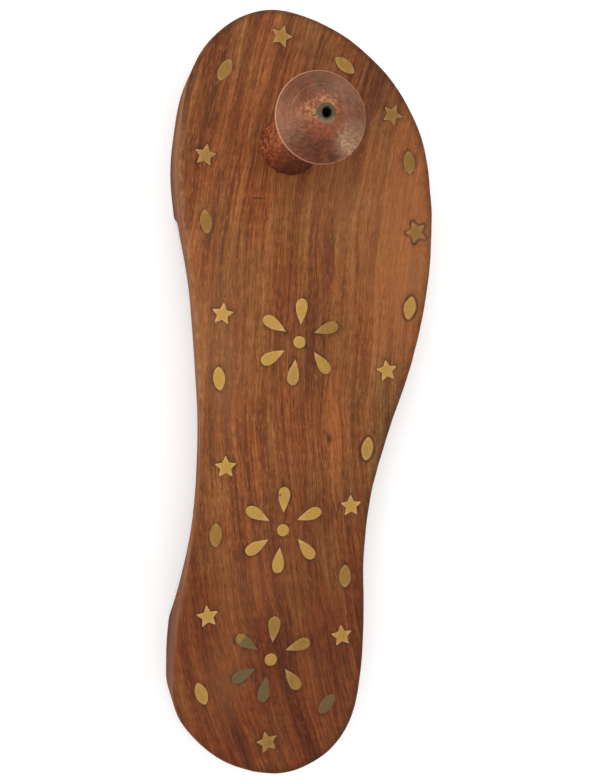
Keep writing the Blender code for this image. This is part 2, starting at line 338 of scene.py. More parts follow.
@dataclass(frozen=True)
class CarvedWood:
    """Oiled hardwood whose dark and tan streaks bow along the sole.

    The mesh tells it how near a point is to an inlay (halo), to the knife line round some inlays
    (scribe) and to the deck's edge (arris), and whether it lies on the side wall (wall) or
    underneath (under).
    """

    name: str = "oiled_streaked_wood"
    tints: Sequence[tuple[float, Tint]] = (
        (0.27, (86, 43, 17)), (0.41, (112, 60, 25)), (0.50, (127, 73, 33)), (0.61, (145, 89, 45)),
        (0.78, (169, 113, 66)),
    )
    pale: Tint = (169, 113, 66)
    red_oil: Tint = (252, 234, 226)
    olive_oil: Tint = (243, 249, 247)
    line: Tint = (70, 32, 12)
    pore: Tint = (64, 30, 12)
    # The dark of real stains by the inlays and of knife lines, and of the painted shade along the deck's edge
    stain_and_edge_shade: Tint = (46, 24, 10)
    heel_shade: Tint = (208, 182, 168)
    wall_dust: Tint = (150, 98, 62)
    # Painted shade on the side wall, toward the floor
    wall_foot_shade: Tint = (196, 184, 184)
    rim_lit: Tint = (182, 128, 90)
    bow: float = 1.3
    lean: float = 0.75
    drift: Cloud = Cloud((0.040, 0.090, 0.050))
    drift_reach: float = 0.010
    ripple: Cloud = Cloud((0.009, 0.014, 0.010), 1.0)
    ripple_reach: float = 0.0011
    bands: Cloud = Cloud((0.0120, 0.170, 0.030))
    bands_place: Triple = (0.040, 0.300, 0.0)
    streaks: Cloud = Cloud((0.0027, 0.080, 0.0120), 3.0, 0.55)
    strands: Cloud = Cloud((0.0010, 0.034, 0.0060))
    fibres: Cloud = Cloud((0.00052, 0.0080, 0.0020), 3.0, 0.7)
    curl: Cloud = Cloud((0.0050, 0.0030, 0.006))
    pores: Cloud = Cloud((0.00036, 0.0028, 0.0010), 1.0)
    oil: Cloud = Cloud((0.011, 0.034, 0.012), 3.0, 0.6)
    wear: Cloud = Cloud(0.0030)
    rasp: Cloud = Cloud((0.0030, 0.0030, 0.0008))
    # What the bands, streaks, strands, fibres and curl add to the lightness
    shares: Sequence[float] = (0.60, 0.62, 0.46, 0.52, 0.20)
    grain_depth: float = 0.00007
    rasp_depth: float = 0.00012
    mirror: float = 0.15
    knot: Pair = (0.0083, -0.0147)
    knot_reach: Triple = (0.0042, 0.0100, 0.0100)
    # The soft spots on the deck: how they are laid on, their tint and share, their size and their centre
    spots: Sequence[tuple[str, Tint, float, Triple, Pair]] = (
        ("MULTIPLY", (206, 196, 202), 1.00, (0.0130, 0.0160, 0.030), (0.0270, 0.1060)),
        ("MULTIPLY", (220, 238, 255), 1.00, (0.0100, 0.0240, 0.030), (0.0290, -0.0080)),
        ("MULTIPLY", (250, 248, 244), 1.00, (0.0060, 0.0220, 0.030), (-0.0330, 0.0900)),
        ("MULTIPLY", (240, 236, 230), 1.00, (0.0110, 0.0090, 0.030), (-0.0040, -0.0870)),
        ("MULTIPLY", (224, 219, 225), 1.00, (0.0090, 0.0160, 0.030), (0.0120, -0.0930)),
        ("MULTIPLY", (238, 240, 240), 1.00, (0.0120, 0.0100, 0.030), (0.0100, -0.0640)),
        ("MULTIPLY", (218, 212, 222), 1.00, (0.0140, 0.0100, 0.030), (0.0020, 0.1160)),
        ("MULTIPLY", (218, 216, 222), 1.00, (0.0140, 0.0160, 0.030), (0.0070, -0.0390)),
        ("MULTIPLY", (236, 236, 234), 1.00, (0.0130, 0.0160, 0.030), (0.0010, 0.0180)),
        ("MULTIPLY", (236, 238, 240), 1.00, (0.0070, 0.0090, 0.030), (-0.0150, 0.0830)),
        ("MULTIPLY", (186, 166, 150), 1.00, (0.0022, 0.0032, 0.010), (0.0368, 0.0640)),
        ("MULTIPLY", (190, 168, 150), 1.00, (0.0020, 0.0009, 0.010), (0.0380, 0.0356)),
        ("MULTIPLY", (238, 230, 224), 1.00, (0.0100, 0.0400, 0.030), (-0.0080, 0.0390)),
        ("MIX", (168, 106, 61), 0.50, (0.0160, 0.0410, 0.030), (0.0370, 0.0520)),
        ("MIX", (166, 112, 72), 0.26, (0.0075, 0.0340, 0.030), (-0.0290, 0.0160)),
        # A painted pool of light round the knob, which lightens the shadow that the cap casts on the deck
        ("MIX", (164, 108, 70), 0.24, (0.0120, 0.0120, 0.030), (0.0110, 0.0680)),
        ("MIX", (150, 92, 58), 0.22, (0.0080, 0.0110, 0.030), (-0.0160, -0.0630)),
        ("MIX", (146, 92, 52), 0.28, (0.0065, 0.0160, 0.030), (-0.0280, -0.0970)),
        # The knot's core, and a cut across the grain
        ("MIX", (46, 24, 10), 0.85, (0.0009, 0.0016, 0.003), (0.0083, -0.0147)),
        ("MIX", (46, 24, 10), 0.80, (0.0018, 0.00035, 0.003), (-0.0165, 0.0670)),
    )

    def grain(self, wood: Surface) -> Wire:
        """Bend the place so that straight streaks in it bow along the sole and part round the knot.

        The growth rings lean through the block, so the walls show long lines too.

        Args:
            wood: The material that the nodes go into.

        Returns:
            The bent place.
        """
        x, y, z = wood.split(wood.place)
        drift = (wood.cloud(wood.place, self.drift) - 0.5) * self.drift_reach
        drift += (wood.cloud(wood.place, self.ripple) - 0.5) * self.ripple_reach
        pull = wood.blob(self.knot_reach, (*self.knot, DECK_TOP))
        across = x - y * y * self.bow + drift - (x - self.knot[0]) * pull * 0.8
        depth = z - DECK_TOP
        return wood.join(depth * self.lean + across, y, depth)

    def dress(self) -> Material:
        """Make the material.

        Returns:
            The finished material.
        """
        wood = Surface(self.name)
        bent = self.grain(wood)
        bands = wood.cloud(wood.vector("SUBTRACT", bent, self.bands_place), self.bands)
        kinds = (self.streaks, self.strands, self.fibres, self.curl, self.pores)
        streaks, strands, fibres, curl, pores = (wood.cloud(bent, kind) for kind in kinds)
        layers = zip((bands, streaks, strands, fibres, curl), self.shares)
        wood.ramp(sum(((layer - 0.5) * share for layer, share in layers), 0.5), self.tints)
        oil = wood.cloud(wood.place, self.oil)
        wood.coat(1.0, wood.mix(wood.step(oil, 0.36, 0.64), self.olive_oil, self.red_oil), "MULTIPLY")
        rings = wood.math("PINGPONG", bands * 11.0 + streaks * 1.3, 0.5)
        wood.coat(wood.step(rings, 0.09, 0.0) * wood.step(oil, 0.42, 0.60, 0.55), self.line)
        pits = wood.step(pores, 0.58, 0.70, 0.50)
        wood.coat(pits, self.pore)
        wood.coat(wood.step(pores, 0.40, 0.28, 0.45), self.pale)

        x, y, z = wood.split(wood.place)
        wood.coat(wood.step(y, -0.020, -0.090), self.heel_shade, "MULTIPLY")
        for blend, tint, share, size, centre in self.spots:
            wood.coat(wood.blob(size, (*centre, DECK_TOP)) * share, tint, blend)

        patchy = wood.step(wood.cloud(wood.place, self.wear), 0.38, 0.66)
        wall, arris = wood.trait("wall"), wood.trait("arris")
        wood.coat(wood.trait("halo") * (patchy * 0.50 + 0.10), self.stain_and_edge_shade)
        wood.coat(wood.trait("scribe") * 0.90, self.stain_and_edge_shade)
        wood.coat(wall * 0.22, self.wall_dust)
        # Painted shade that darkens the side wall toward the floor
        wood.coat(wood.step(z, 0.016, 0.001) * wall, self.wall_foot_shade, "MULTIPLY")
        # Painted light along the deck's edge: a painted shade line all round, which fades on the inner side
        # that faces the lamp, where a painted highlight runs along the arris instead
        lit_inner_side = wood.step(x, -0.012, -0.022) * wood.step(y, 0.105, 0.080)
        wood.coat((lit_inner_side * -0.75 + 1.0) * arris * (patchy * 0.16 + 0.40), self.stain_and_edge_shade)
        shine = wood.math("POWER", arris, 4.0) * (patchy * 0.30 + 0.05)
        wood.coat(lit_inner_side * shine * wood.step(y, -0.040, 0.010), self.rim_lit)

        height = fibres * 0.6 + strands * 0.5 - pits
        roughness = fibres * 0.22 + wood.trait("under") * 0.15 + wall * 0.35 + 0.38
        rasp = wood.relief(wood.cloud(wood.place, self.rasp) * wall, self.rasp_depth)
        return wood.finish(roughness, wood.relief(height, self.grain_depth, rasp), self.mirror)


@dataclass(frozen=True)
class InlaidBrass:
    """Brass filed flush with the deck and worn, from bright gold to grey-green.

    Each plate says how bright it is (tone) and how much of it is tarnished from its tip (cover). Its
    mesh tells how near a point is to the plate's edge (rim) and to a pointed end (tip), and how far along
    the plate it lies (reach).
    """

    name: str = "inlaid_brass"
    gold: Tint = (176, 136, 66)
    olive: Tint = (132, 97, 48)
    copper: Tint = (204, 157, 117)
    tarnish: Tint = (106, 90, 62)
    grime: Tint = (92, 66, 36)
    mottle: Cloud = Cloud((0.0011, 0.0016, 0.002), 3.0, 0.6)
    clouds: Cloud = Cloud(0.005, 1.0)
    specks: Cloud = Cloud(0.0005)
    file_marks: Cloud = Cloud((0.0003, 0.004, 0.001))
    file_depth: float = 0.00002
    metallic: float = 0.85
    nick: Triple = (-0.0089, -0.0334, DECK_TOP)
    nick_size: Triple = (0.00045, 0.0004, 0.001)

    def dress(self) -> Material:
        """Make the material.

        Returns:
            The finished material.
        """
        brass = Surface(self.name)
        tone = brass.trait("tone")
        kinds = (self.mottle, self.clouds, self.specks, self.file_marks)
        mottle, clouds, specks, file_marks = (brass.cloud(brass.place, kind) for kind in kinds)
        brass.colour = brass.mix(tone + (mottle - 0.5) * 0.9, self.olive, self.gold)
        edge = brass.trait("rim") * brass.step(clouds, 0.35, 0.65, 0.32) + brass.trait("tip") * 0.60
        brass.coat(edge * (tone * 0.6 + 0.4), self.copper)
        past = brass.trait("cover") - (brass.trait("reach") + (clouds - 0.5) * 0.5)
        tarnished = brass.step(past, -0.05, 0.05)
        brass.coat(tarnished * 0.85, self.tarnish)
        brass.coat(brass.step(specks, 0.60, 0.72, 0.6), self.grime)
        brass.coat(brass.blob(self.nick_size, self.nick), self.grime)
        roughness = mottle * 0.25 + tarnished * 0.20 + 0.34
        return brass.finish(roughness, brass.relief(file_marks, self.file_depth), metallic=self.metallic)


@dataclass(frozen=True)
class SettingLac:
    """The dark lac that fills the thin gap round each inlay."""

    name: str = "setting_lac"
    dark: Tint = (44, 24, 10)
    worn: Tint = (104, 60, 26)
    crumbs: Cloud = Cloud(0.0007, 2.0, 0.6)
    wear: Cloud = Cloud(0.0030)
    depth: float = 0.00006
    roughness: float = 0.65
    mirror: float = 0.25

    def dress(self) -> Material:
        """Make the material.

        Returns:
            The finished material.
        """
        lac = Surface(self.name)
        crumbs = lac.cloud(lac.place, self.crumbs)
        worn = lac.step(lac.cloud(lac.place, self.wear), 0.62, 0.40) + (crumbs - 0.5)
        lac.colour = lac.mix(worn, self.dark, self.worn)
        return lac.finish(self.roughness, lac.relief(crumbs, self.depth), self.mirror)


class TurnedWood(Surface):
    """A material for turned wood, measured from the knob's axis."""

    def __init__(self, name: str, axis: Triple) -> None:
        """Start the material and measure the place from the axis.

        Args:
            name: Its name.
            axis: A point on the axis.
        """
        super().__init__(name)
        self.spot = self.stretch(self.place, 1.0, axis)
        self.x, self.y, self.z = self.split(self.spot)
        flat = self.join(self.x, self.y, 0.0)
        self.radius = self.vector("LENGTH", flat)
        self.way = self.vector("NORMALIZE", flat)

    def facing(self, across: float, along: float) -> Wire:
        """Tell how far a point lies toward a side of the axis, from -1 to 1."""
        return self.vector("DOT_PRODUCT", self.way, (across, along, 0.0))


@dataclass(frozen=True)
class TurnedCapWood:
    """The knob's cap: turned wood with painted sheen and shade round its axis, a pale worn rim with a painted
    highlight toward the lamp, and torn grain round its nub.
    """

    axis: Triple
    radius: float
    name: str = "turned_cap_wood"
    # Painted light round the axis, from the big toe's side by way of the heel's side: pale painted
    # reflections on the slopes, and painted shade on the heel's side
    round_trip: Sequence[tuple[float, Tint]] = (
        (0.00, (134, 83, 57)), (0.08, (122, 81, 58)), (0.14, (94, 54, 34)), (0.25, (86, 40, 20)),
        (0.31, (98, 52, 33)), (0.37, (147, 110, 85)), (0.44, (131, 93, 70)), (0.52, (106, 64, 42)),
        (0.64, (124, 83, 60)), (0.75, (100, 66, 44)), (0.87, (106, 60, 36)), (1.00, (134, 83, 57)),
    )
    brown: Tint = (118, 62, 38)
    # A pale worn line round the rim, also painted as a highlight that is brighter toward the lamp
    rim: Tint = (198, 142, 108)
    # The shreds' tints: pale for their painted lit side and red for their painted shaded side
    torn: Tint = (176, 126, 88)
    torn_red: Tint = (148, 80, 54)
    torn_dark: Tint = (112, 62, 38)
    collar: Tint = (86, 69, 44)
    collar_lit: Tint = (134, 104, 84)
    # Painted shade in the hole and round its mouth
    hole_shade: Tint = (20, 11, 6)
    mottle: Cloud = Cloud((0.0028, 0.0034, 0.004), 3.0, 0.6)
    fine: Cloud = Cloud((0.0009, 0.0010, 0.0009), 4.0, 0.7)
    turning: Cloud = Cloud(0.00075)
    scores: Cloud = Cloud((0.0022, 0.0006, 0.0012), 2.0, 0.6)
    shreds: Cloud = Cloud(0.0011, 4.0, 0.7)
    depth: float = 0.00010
    mirror: float = 0.18

    def dress(self) -> Material:
        """Make the material.

        Returns:
            The finished material.
        """
        cap = TurnedWood(self.name, self.axis)
        radius, spot, lampward, heelward = cap.radius, cap.spot, cap.facing(*LAMP_WAY), cap.facing(*HEEL_WAY)
        mottle = cap.cloud(spot, self.mottle) - 0.5
        fine, scores = cap.cloud(spot, self.fine), cap.cloud(spot, self.scores)
        turned = cap.cloud(cap.join(radius, 0.0, cap.z), self.turning)

        turn = cap.math("ARCTAN2", cap.y, cap.x) * (0.5 / math.pi) + 0.5
        # Painted reflections and painted shade round the axis
        cap.ramp(turn + mottle * 0.10, self.round_trip)
        cap.coat(cap.step(radius + mottle * 0.008, 0.0090, 0.0055, 0.75), self.brown)
        # The turning rings are painted stronger toward the lamp, as painted light
        arcs = cap.step(lampward, 0.20, 0.80, 1.10) + 0.20
        grit = cap.step(heelward, -0.30, 0.60, 0.80)
        shade = mottle * 1.1 + (turned - 0.5) * arcs + 1.0
        shade += (fine - 0.5) * (grit + 1.05) + (scores - 0.5) * grit * 1.8
        cap.coat(1.0, cap.join(shade, shade, shade), "MULTIPLY")

        top = cap.step(cap.z, self.radius * 0.05, self.radius * 0.12)
        torn = cap.step(radius + mottle * 0.007, 0.0072, 0.0054) * top
        cap.coat(torn * 0.55, self.torn_dark)
        shreds = cap.cloud(spot, self.shreds) + (radius - 0.0030) * -42.0
        # The shreds are painted pale toward the lamp and red away from it, as painted light and shade
        splinters = cap.mix(cap.step(lampward, -0.6, 0.5), self.torn_red, self.torn)
        cap.coat(cap.step(shreds, 0.34, 0.58, 0.85) * top, splinters)
        edge = radius + mottle * 0.0022
        lit = cap.step(heelward, 0.2, 0.8) * cap.step(radius, 0.0018, 0.0025, 0.8)
        cap.coat(cap.step(edge, 0.0035, 0.0026) * top, cap.mix(lit, self.collar, self.collar_lit))
        # Painted shade in the hole and round its mouth
        cap.coat(cap.step(edge, 0.0019, 0.0013), self.hole_shade)
        # A pale worn line round the rim, with a painted highlight that is brighter toward the lamp
        worn = cap.step(radius, self.radius - 0.00034, self.radius - 0.00014)
        worn *= cap.step(cap.z, -0.0009, -0.0005) * (cap.facing(-0.8, 0.5) * 0.28 + 0.50)
        cap.coat(worn, self.rim)

        height = fine * (torn + 0.25) + turned * 0.3
        return cap.finish((fine + torn) * 0.25 + 0.34, cap.relief(height, self.depth), self.mirror)


@dataclass(frozen=True)
class TornStemWood:
    """The knob's stem: orange-red wood with torn fibres and pits, and painted shade on its outer side, away
    from the lamp.
    """

    axis: Triple
    name: str = "torn_stem_wood"
    orange: Tint = (160, 83, 47)
    red: Tint = (116, 50, 27)
    # Dark fibres and pits, and the painted shade on the side away from the lamp
    dark: Tint = (66, 26, 13)
    fleck: Tint = (190, 119, 75)
    lumps: Cloud = Cloud((0.0022, 0.0022, 0.0040), 3.0, 0.65)
    fibres: Cloud = Cloud((0.0011, 0.0011, 0.0022), 3.0, 0.65)
    pits: Cloud = Cloud((0.0013, 0.0013, 0.0019), 1.0)
    # The way that the painted shade faces, away from the lamp
    shaded_side_way: Pair = (0.72, -0.69)
    depth: float = 0.00045
    roughness: float = 0.55
    mirror: float = 0.25

    def dress(self) -> Material:
        """Make the material.

        Returns:
            The finished material.
        """
        stem = TurnedWood(self.name, self.axis)
        lumps, fibres, pits = (stem.cloud(stem.spot, kind) for kind in (self.lumps, self.fibres, self.pits))
        wander = lumps - 0.5
        rough = stem.step(stem.facing(*BIG_TOE_WAY) + wander, -0.30, 0.45)
        stem.colour = stem.mix(stem.step(lumps, 0.34, 0.64) * (rough * 0.70 + 0.30), self.red, self.orange)
        stem.coat(stem.step(fibres, 0.52, 0.30) * (rough * 0.40 + 0.45), self.dark)
        stem.coat(stem.step(fibres, 0.54, 0.68) * (rough * 0.75 + 0.05), self.fleck)
        stem.coat(stem.step(pits, 0.66, 0.72, 0.9), self.dark)
        # Painted shade on the side away from the lamp, where the cap's shadow falls
        stem.coat(stem.step(stem.facing(*self.shaded_side_way) + wander * 1.6, -0.30, 0.55, 0.82), self.dark)
        # Darker toward the foot of the stem, at the deck
        stem.coat(stem.step(stem.z + wander * 0.006, 0.0018, 0.0, 0.6), self.dark)
        relief = stem.relief(lumps * 0.5 + fibres * 0.6, self.depth)
        return stem.finish(self.roughness, relief, self.mirror)


@dataclass(frozen=True)
class SplinterWood:
    """Pale torn fibres that stand off the stem."""

    name: str = "splinter_wood"
    pale: Tint = (204, 134, 80)
    red: Tint = (126, 52, 28)
    clouds: Cloud = Cloud(0.002, 1.0)
    roughness: float = 0.60

    def dress(self) -> Material:
        """Make the material.

        Returns:
            The finished material.
        """
        splinter = Surface(self.name)
        share = splinter.step(splinter.cloud(splinter.place, self.clouds), 0.42, 0.62)
        splinter.colour = splinter.mix(share, self.red, self.pale)
        return splinter.finish(self.roughness)


@dataclass(frozen=True)
class PaleFloor:
    """The plain, nearly white floor of the studio, lit a little from within."""

    name: str = "pale_floor"
    white: Tint = (250, 250, 250)
    glow: float = 0.10
    roughness: float = 0.9

    def dress(self) -> Material:
        """Make the material.

        Returns:
            The finished material.
        """
        floor = Surface(self.name)
        floor.colour = seen(self.white)
        floor.shader.inputs["Emission Color"].default_value = seen((255, 255, 255))
        floor.shader.inputs["Emission Strength"].default_value = self.glow
        return floor.finish(self.roughness)


def round_points(count: int) -> tuple[Array, Array]:
    """Share angles out round a circle, and give them with their unit directions."""
    angles = np.linspace(0.0, 2.0 * np.pi, count, endpoint=False)
    return angles, np.stack([np.cos(angles), np.sin(angles)], axis=1)


def smooth_loop(points: Array, steps: int) -> Array:
    """Draw a closed smooth line through some points.

    Args:
        points: The points in order, one row each.
        steps: How many stretches lie between two of them.

    Returns:
        The points of the smooth line.
    """
    before, start, end, after = (np.roll(points, shift, axis=0) for shift in (1, 0, -1, -2))

    def span(first: Array, second: Array) -> Array:
        """Give the square root of each distance, as a column."""
        return np.sqrt(np.linalg.norm(second - first, axis=1))[:, None]

    low = span(before, start)
    high = low + span(start, end)
    last = high + span(end, after)
    drawn = []
    for step in range(steps):
        at = low + (high - low) * step / steps
        near = before + (start - before) * at / low
        middle = start + (end - start) * (at - low) / (high - low)
        far = end + (after - end) * (at - high) / (last - high)
        left = near + (middle - near) * at / high
        right = middle + (far - middle) * (at - low) / (last - low)
        drawn.append(left + (right - left) * (at - low) / (high - low))
    return np.stack(drawn, axis=1).reshape(-1, points.shape[1])


def even_loop(points: Array, count: int) -> Array:
    """Share points out evenly along a closed line.

    Args:
        points: The line's points.
        count: How many points to place.

    Returns:
        The evenly spaced points.
    """
    closed = np.vstack([points, points[:1]])
    lengths = np.concatenate([[0.0], np.cumsum(np.linalg.norm(np.diff(closed, axis=0), axis=1))])
    marks = np.linspace(0.0, lengths[-1], count, endpoint=False)
    return np.stack([np.interp(marks, lengths, closed[:, axis]) for axis in (0, 1)], axis=1)


def outward(loop: Array) -> Array:
    """Give the outward direction at each point of a loop that runs anticlockwise.

    Args:
        loop: The closed outline.

    Returns:
        One row for each point, longer at a sharp corner so that both sides move by the same amount.
    """
    into = loop - np.roll(loop, 1, axis=0)
    into /= np.linalg.norm(into, axis=1)[:, None]
    away = np.roll(into, -1, axis=0)
    normals = np.stack([into[:, 1] + away[:, 1], -into[:, 0] - away[:, 0]], axis=1)
    facing = 1.0 + np.sum(into * away, axis=1)
    return normals / np.maximum(facing, 0.25)[:, None]


def grow(loop: Array, distance: float) -> Array:
    """Move each side of a closed outline outward, or inward for a negative distance."""
    return loop + outward(loop) * distance


def inside(points: Array, loop: Array) -> Array:
    """Tell which points lie inside a closed outline.

    Args:
        points: The points to judge, one row each.
        loop: The outline.

    Returns:
        One truth value for each point.
    """
    found = np.zeros(len(points), bool)
    near = np.flatnonzero(np.all((points >= loop.min(axis=0)) & (points <= loop.max(axis=0)), axis=1))
    start, end = loop, np.roll(loop, -1, axis=0)
    rise = end[:, 1] - start[:, 1]
    rise = np.where(rise == 0.0, 1e-12, rise)
    for part in np.array_split(near, max(1, len(near) // 2000)):
        x, y = points[part, 0][:, None], points[part, 1][:, None]
        crosses = (start[:, 1] > y) != (end[:, 1] > y)
        at = start[:, 0] + (y - start[:, 1]) * (end[:, 0] - start[:, 0]) / rise
        found[part] = np.sum(crosses & (x < at), axis=1) % 2 == 1
    return found


def fill(outer: Array, holes: Sequence[Array], loose: Array) -> tuple[Array, Array]:
    """Fill a flat region with triangles.

    Args:
        outer: The region's outline.
        holes: The outlines of what is left out.
        loose: Points inside the region that the triangles meet at.

    Returns:
        The points and the triangles' corner numbers.
    """
    edges = []
    start = 0
    for loop in (outer, *holes):
        count = len(loop)
        edges.extend((start + index, start + (index + 1) % count) for index in range(count))
        start += count
    points = [Vector(point) for point in np.vstack([outer, *holes, loose])]
    found = delaunay_2d_cdt(points, edges, [], 0, 1e-8)
    flat = np.array([point[:] for point in found[0]])
    corners = np.array(found[2])
    middles = flat[corners].mean(axis=1)
    kept = inside(middles, outer)
    for hole in holes:
        kept &= ~inside(middles, hole)
    return flat, corners[kept]


def spread(outer: Array, spacing: float) -> Array:
    """Lay points in a staggered grid inside an outline.

    Args:
        outer: The outline that they stay inside.
        spacing: The distance between them.

    Returns:
        The points, one row each.
    """
    low, high = outer.min(axis=0), outer.max(axis=0)
    rows = []
    for number, y in enumerate(np.arange(low[1], high[1], spacing * 0.866)):
        row = np.arange(low[0] + (number % 2) * 0.5 * spacing, high[0], spacing)
        rows.append(np.stack([row, np.full(len(row), y)], axis=1))
    grid = np.vstack(rows)
    return grid[inside(grid, outer)]


def nearest(points: Array, marks: Array) -> Array:
    """Give each point's distance to the nearest mark.

    Args:
        points: The points to measure from, with x and y.
        marks: The marks to measure to.

    Returns:
        One distance for each point.
    """
    tree = kdtree.KDTree(len(marks))
    for index, mark in enumerate(marks):
        tree.insert((mark[0], mark[1], 0.0), index)
    tree.balance()
    return np.array([tree.find((point[0], point[1], 0.0))[2] for point in points])


def waves(points: Array, cell: Triple, seed: float) -> Array:
    """Give a smooth wandering value from -1 to 1 at each point.

    Args:
        points: The points, with x and y, or with x, y and z.
        cell: How far apart the waves lie along x, y and z.
        seed: Which pattern of waves.

    Returns:
        One value for each point.
    """
    points = raised(points, 0.0) if points.shape[1] == 2 else points
    return np.array([noise.noise(Vector(point)) for point in points / np.array(cell) + seed])


def raised(flat: Array, heights: Union[float, Array]) -> Array:
    """Give flat points their height."""
    return np.column_stack([flat, np.broadcast_to(heights, len(flat))])


class Skin:
    """Patches of points and faces that are sewn into one mesh."""

    def __init__(self, traits: Sequence[str] = ()) -> None:
        """Start an empty skin whose corners keep a number for each named trait."""
        self.mesh = bmesh.new()
        self.layers = {name: self.mesh.verts.layers.float.new(name) for name in traits}

    def patch(self, points: Array, faces: Iterable[Sequence[int]], slot: int = 0, **traits: object) -> None:
        """Add a patch.

        Args:
            points: Its points, one row each.
            faces: The corner numbers of each face.
            slot: The number of its material.
            **traits: A number, or one for each point, for each trait.
        """
        corners = [self.mesh.verts.new(point) for point in points]
        for name, layer in self.layers.items():
            for corner, value in zip(corners, np.broadcast_to(traits.get(name, 0.0), len(points))):
                corner[layer] = float(value)
        for face in faces:
            self.mesh.faces.new([corners[index] for index in face]).material_index = slot

    def lid(self, ring: Array, slot: int = 0, **traits: object) -> None:
        """Close a ring of points with one face."""
        self.patch(ring, [range(len(ring))], slot, **traits)

    def rings(self, rings: Sequence[Array], slot: int = 0, round_trip: bool = False,
              **traits: object) -> None:
        """Add a skin that runs over closed rings of equally many points.

        Args:
            rings: The rings in order.
            slot: The number of its material.
            round_trip: Whether the last ring is joined to the first.
            **traits: A number, or one for each ring, for each trait.
        """
        rows, count = len(rings), len(rings[0])
        faces = []
        for row in range(rows if round_trip else rows - 1):
            low, high = row * count, (row + 1) % rows * count
            for index in range(count):
                after = (index + 1) % count
                faces.append((low + index, low + after, high + after, high + index))
        each = {name: np.repeat(np.broadcast_to(value, rows), count) for name, value in traits.items()}
        self.patch(np.vstack(rings), faces, slot, **each)

    def finish(self, name: str, materials: Sequence[Material], sharp: float = 40.0) -> Object:
        """Sew the patches together and place the piece in the scene.

        Args:
            name: The piece's name.
            materials: Its materials, in the order of their numbers.
            sharp: The angle in degrees from which an edge stays sharp.

        Returns:
            The new object.
        """
        bmesh.ops.remove_doubles(self.mesh, verts=self.mesh.verts, dist=1e-6)
        bmesh.ops.recalc_face_normals(self.mesh, faces=self.mesh.faces)
        data = bpy.data.meshes.new(name)
        self.mesh.to_mesh(data)
        self.mesh.free()
        for material in materials:
            data.materials.append(material)
        data.shade_smooth()
        data.set_sharp_from_angle(angle=math.radians(sharp))
        return place_thing(name, data)


def place_thing(name: str, data: ID) -> Object:
    """Put an object into the scene, at the origin.

    Args:
        name: Its name.
        data: Its mesh, lamp or camera.

    Returns:
        The object.
    """
    thing = bpy.data.objects.new(name, data)
    bpy.context.scene.collection.objects.link(thing)
    return thing


def hand_over(piece: Object, nodes: Sequence[str]) -> None:
    """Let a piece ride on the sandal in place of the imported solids.

    Args:
        piece: The finished piece.
        nodes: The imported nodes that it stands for.
    """
    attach(piece, BODY)
    if nodes:
        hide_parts(*nodes)
    LOG.info("%s: %d faces, stands for %d packed pieces", piece.name, len(piece.data.polygons), len(nodes))


class PlateKind(Enum):
    """The four shapes of brass, by the words in their packed names."""

    STAR = "star_inlay"
    LEAF = "leaf_inlay"
    PETAL = "_petal_"
    DOT = "_dot"


class Patina(Enum):
    """How a plate has aged, as its brightness and the share of it that is tarnished from its tip."""

    BRIGHT = (1.0, -0.5)
    SOFT = (0.72, -0.5)
    DULL = (0.25, -0.5)
    OLIVE = (0.0, -0.5)
    HALF_TARNISHED = (0.25, 0.62)
    TARNISHED = (0.0, 1.5)


# The plates that are no longer bright
AGED = {
    Patina.SOFT: ("star_inlay_10", "leaf_inlay_05", "leaf_inlay_07", "leaf_inlay_10", "flower_1_petal_3",
                  "flower_1_petal_4", "flower_3_dot"),
    Patina.DULL: ("star_inlay_01", "star_inlay_03", "star_inlay_11", "leaf_inlay_02", "leaf_inlay_08",
                  "leaf_inlay_09", "flower_1_petal_2", "flower_3_petal_1", "flower_3_petal_2",
                  "flower_3_petal_3"),
    Patina.OLIVE: ("star_inlay_02", "star_inlay_04", "leaf_inlay_01", "leaf_inlay_03", "leaf_inlay_04"),
    Patina.HALF_TARNISHED: ("flower_3_petal_6",),
    Patina.TARNISHED: ("leaf_inlay_11", "flower_3_petal_4", "flower_3_petal_5"),
}
# The inlays with a knife line left round them
SCRIBED = ("star_inlay_04", "leaf_inlay_05", "leaf_inlay_07")


class Seat(NamedTuple):
    """Where one plate lies on the deck: its packed name, its middle and its turn in radians."""

    node: str
    kind: PlateKind
    x: float
    y: float
    turn: float

    def carry(self, loop: Array) -> Array:
        """Carry an outline drawn about the origin to this seat."""
        cos, sin = math.cos(self.turn), math.sin(self.turn)
        return loop @ np.array([[cos, sin], [-sin, cos]]) + (self.x, self.y)

    def age(self) -> Pair:
        """Look up the plate's brightness and the share of it that is tarnished."""
        return next((patina for patina, nodes in AGED.items() if self.node in nodes), Patina.BRIGHT).value


def packed_loop(node: Object, height: float, slack: float = 2e-5) -> Array:
    """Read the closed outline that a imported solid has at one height.

    Args:
        node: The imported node, which is only read.
        height: The height above the floor.
        slack: How far a corner may lie from that height.

    Returns:
        The outline's corners, anticlockwise round their middle.
    """
    corners = {tuple(round(value, 6) for value in vertex.co[:2])
               for vertex in node.data.vertices if abs(vertex.co.z - height) < slack}
    loop = np.array(sorted(corners))
    from_middle = loop - loop.mean(axis=0)
    return loop[np.argsort(np.arctan2(from_middle[:, 1], from_middle[:, 0]))]


def area_centre(loop: Array) -> Array:
    """Find the middle of a flat shape.

    Args:
        loop: Its closed outline.

    Returns:
        The centre of its area.
    """
    after = np.roll(loop, -1, axis=0)
    shares = loop[:, 0] * after[:, 1] - after[:, 0] * loop[:, 1]
    return ((loop + after) * shares[:, None]).sum(axis=0) / (3.0 * shares.sum())


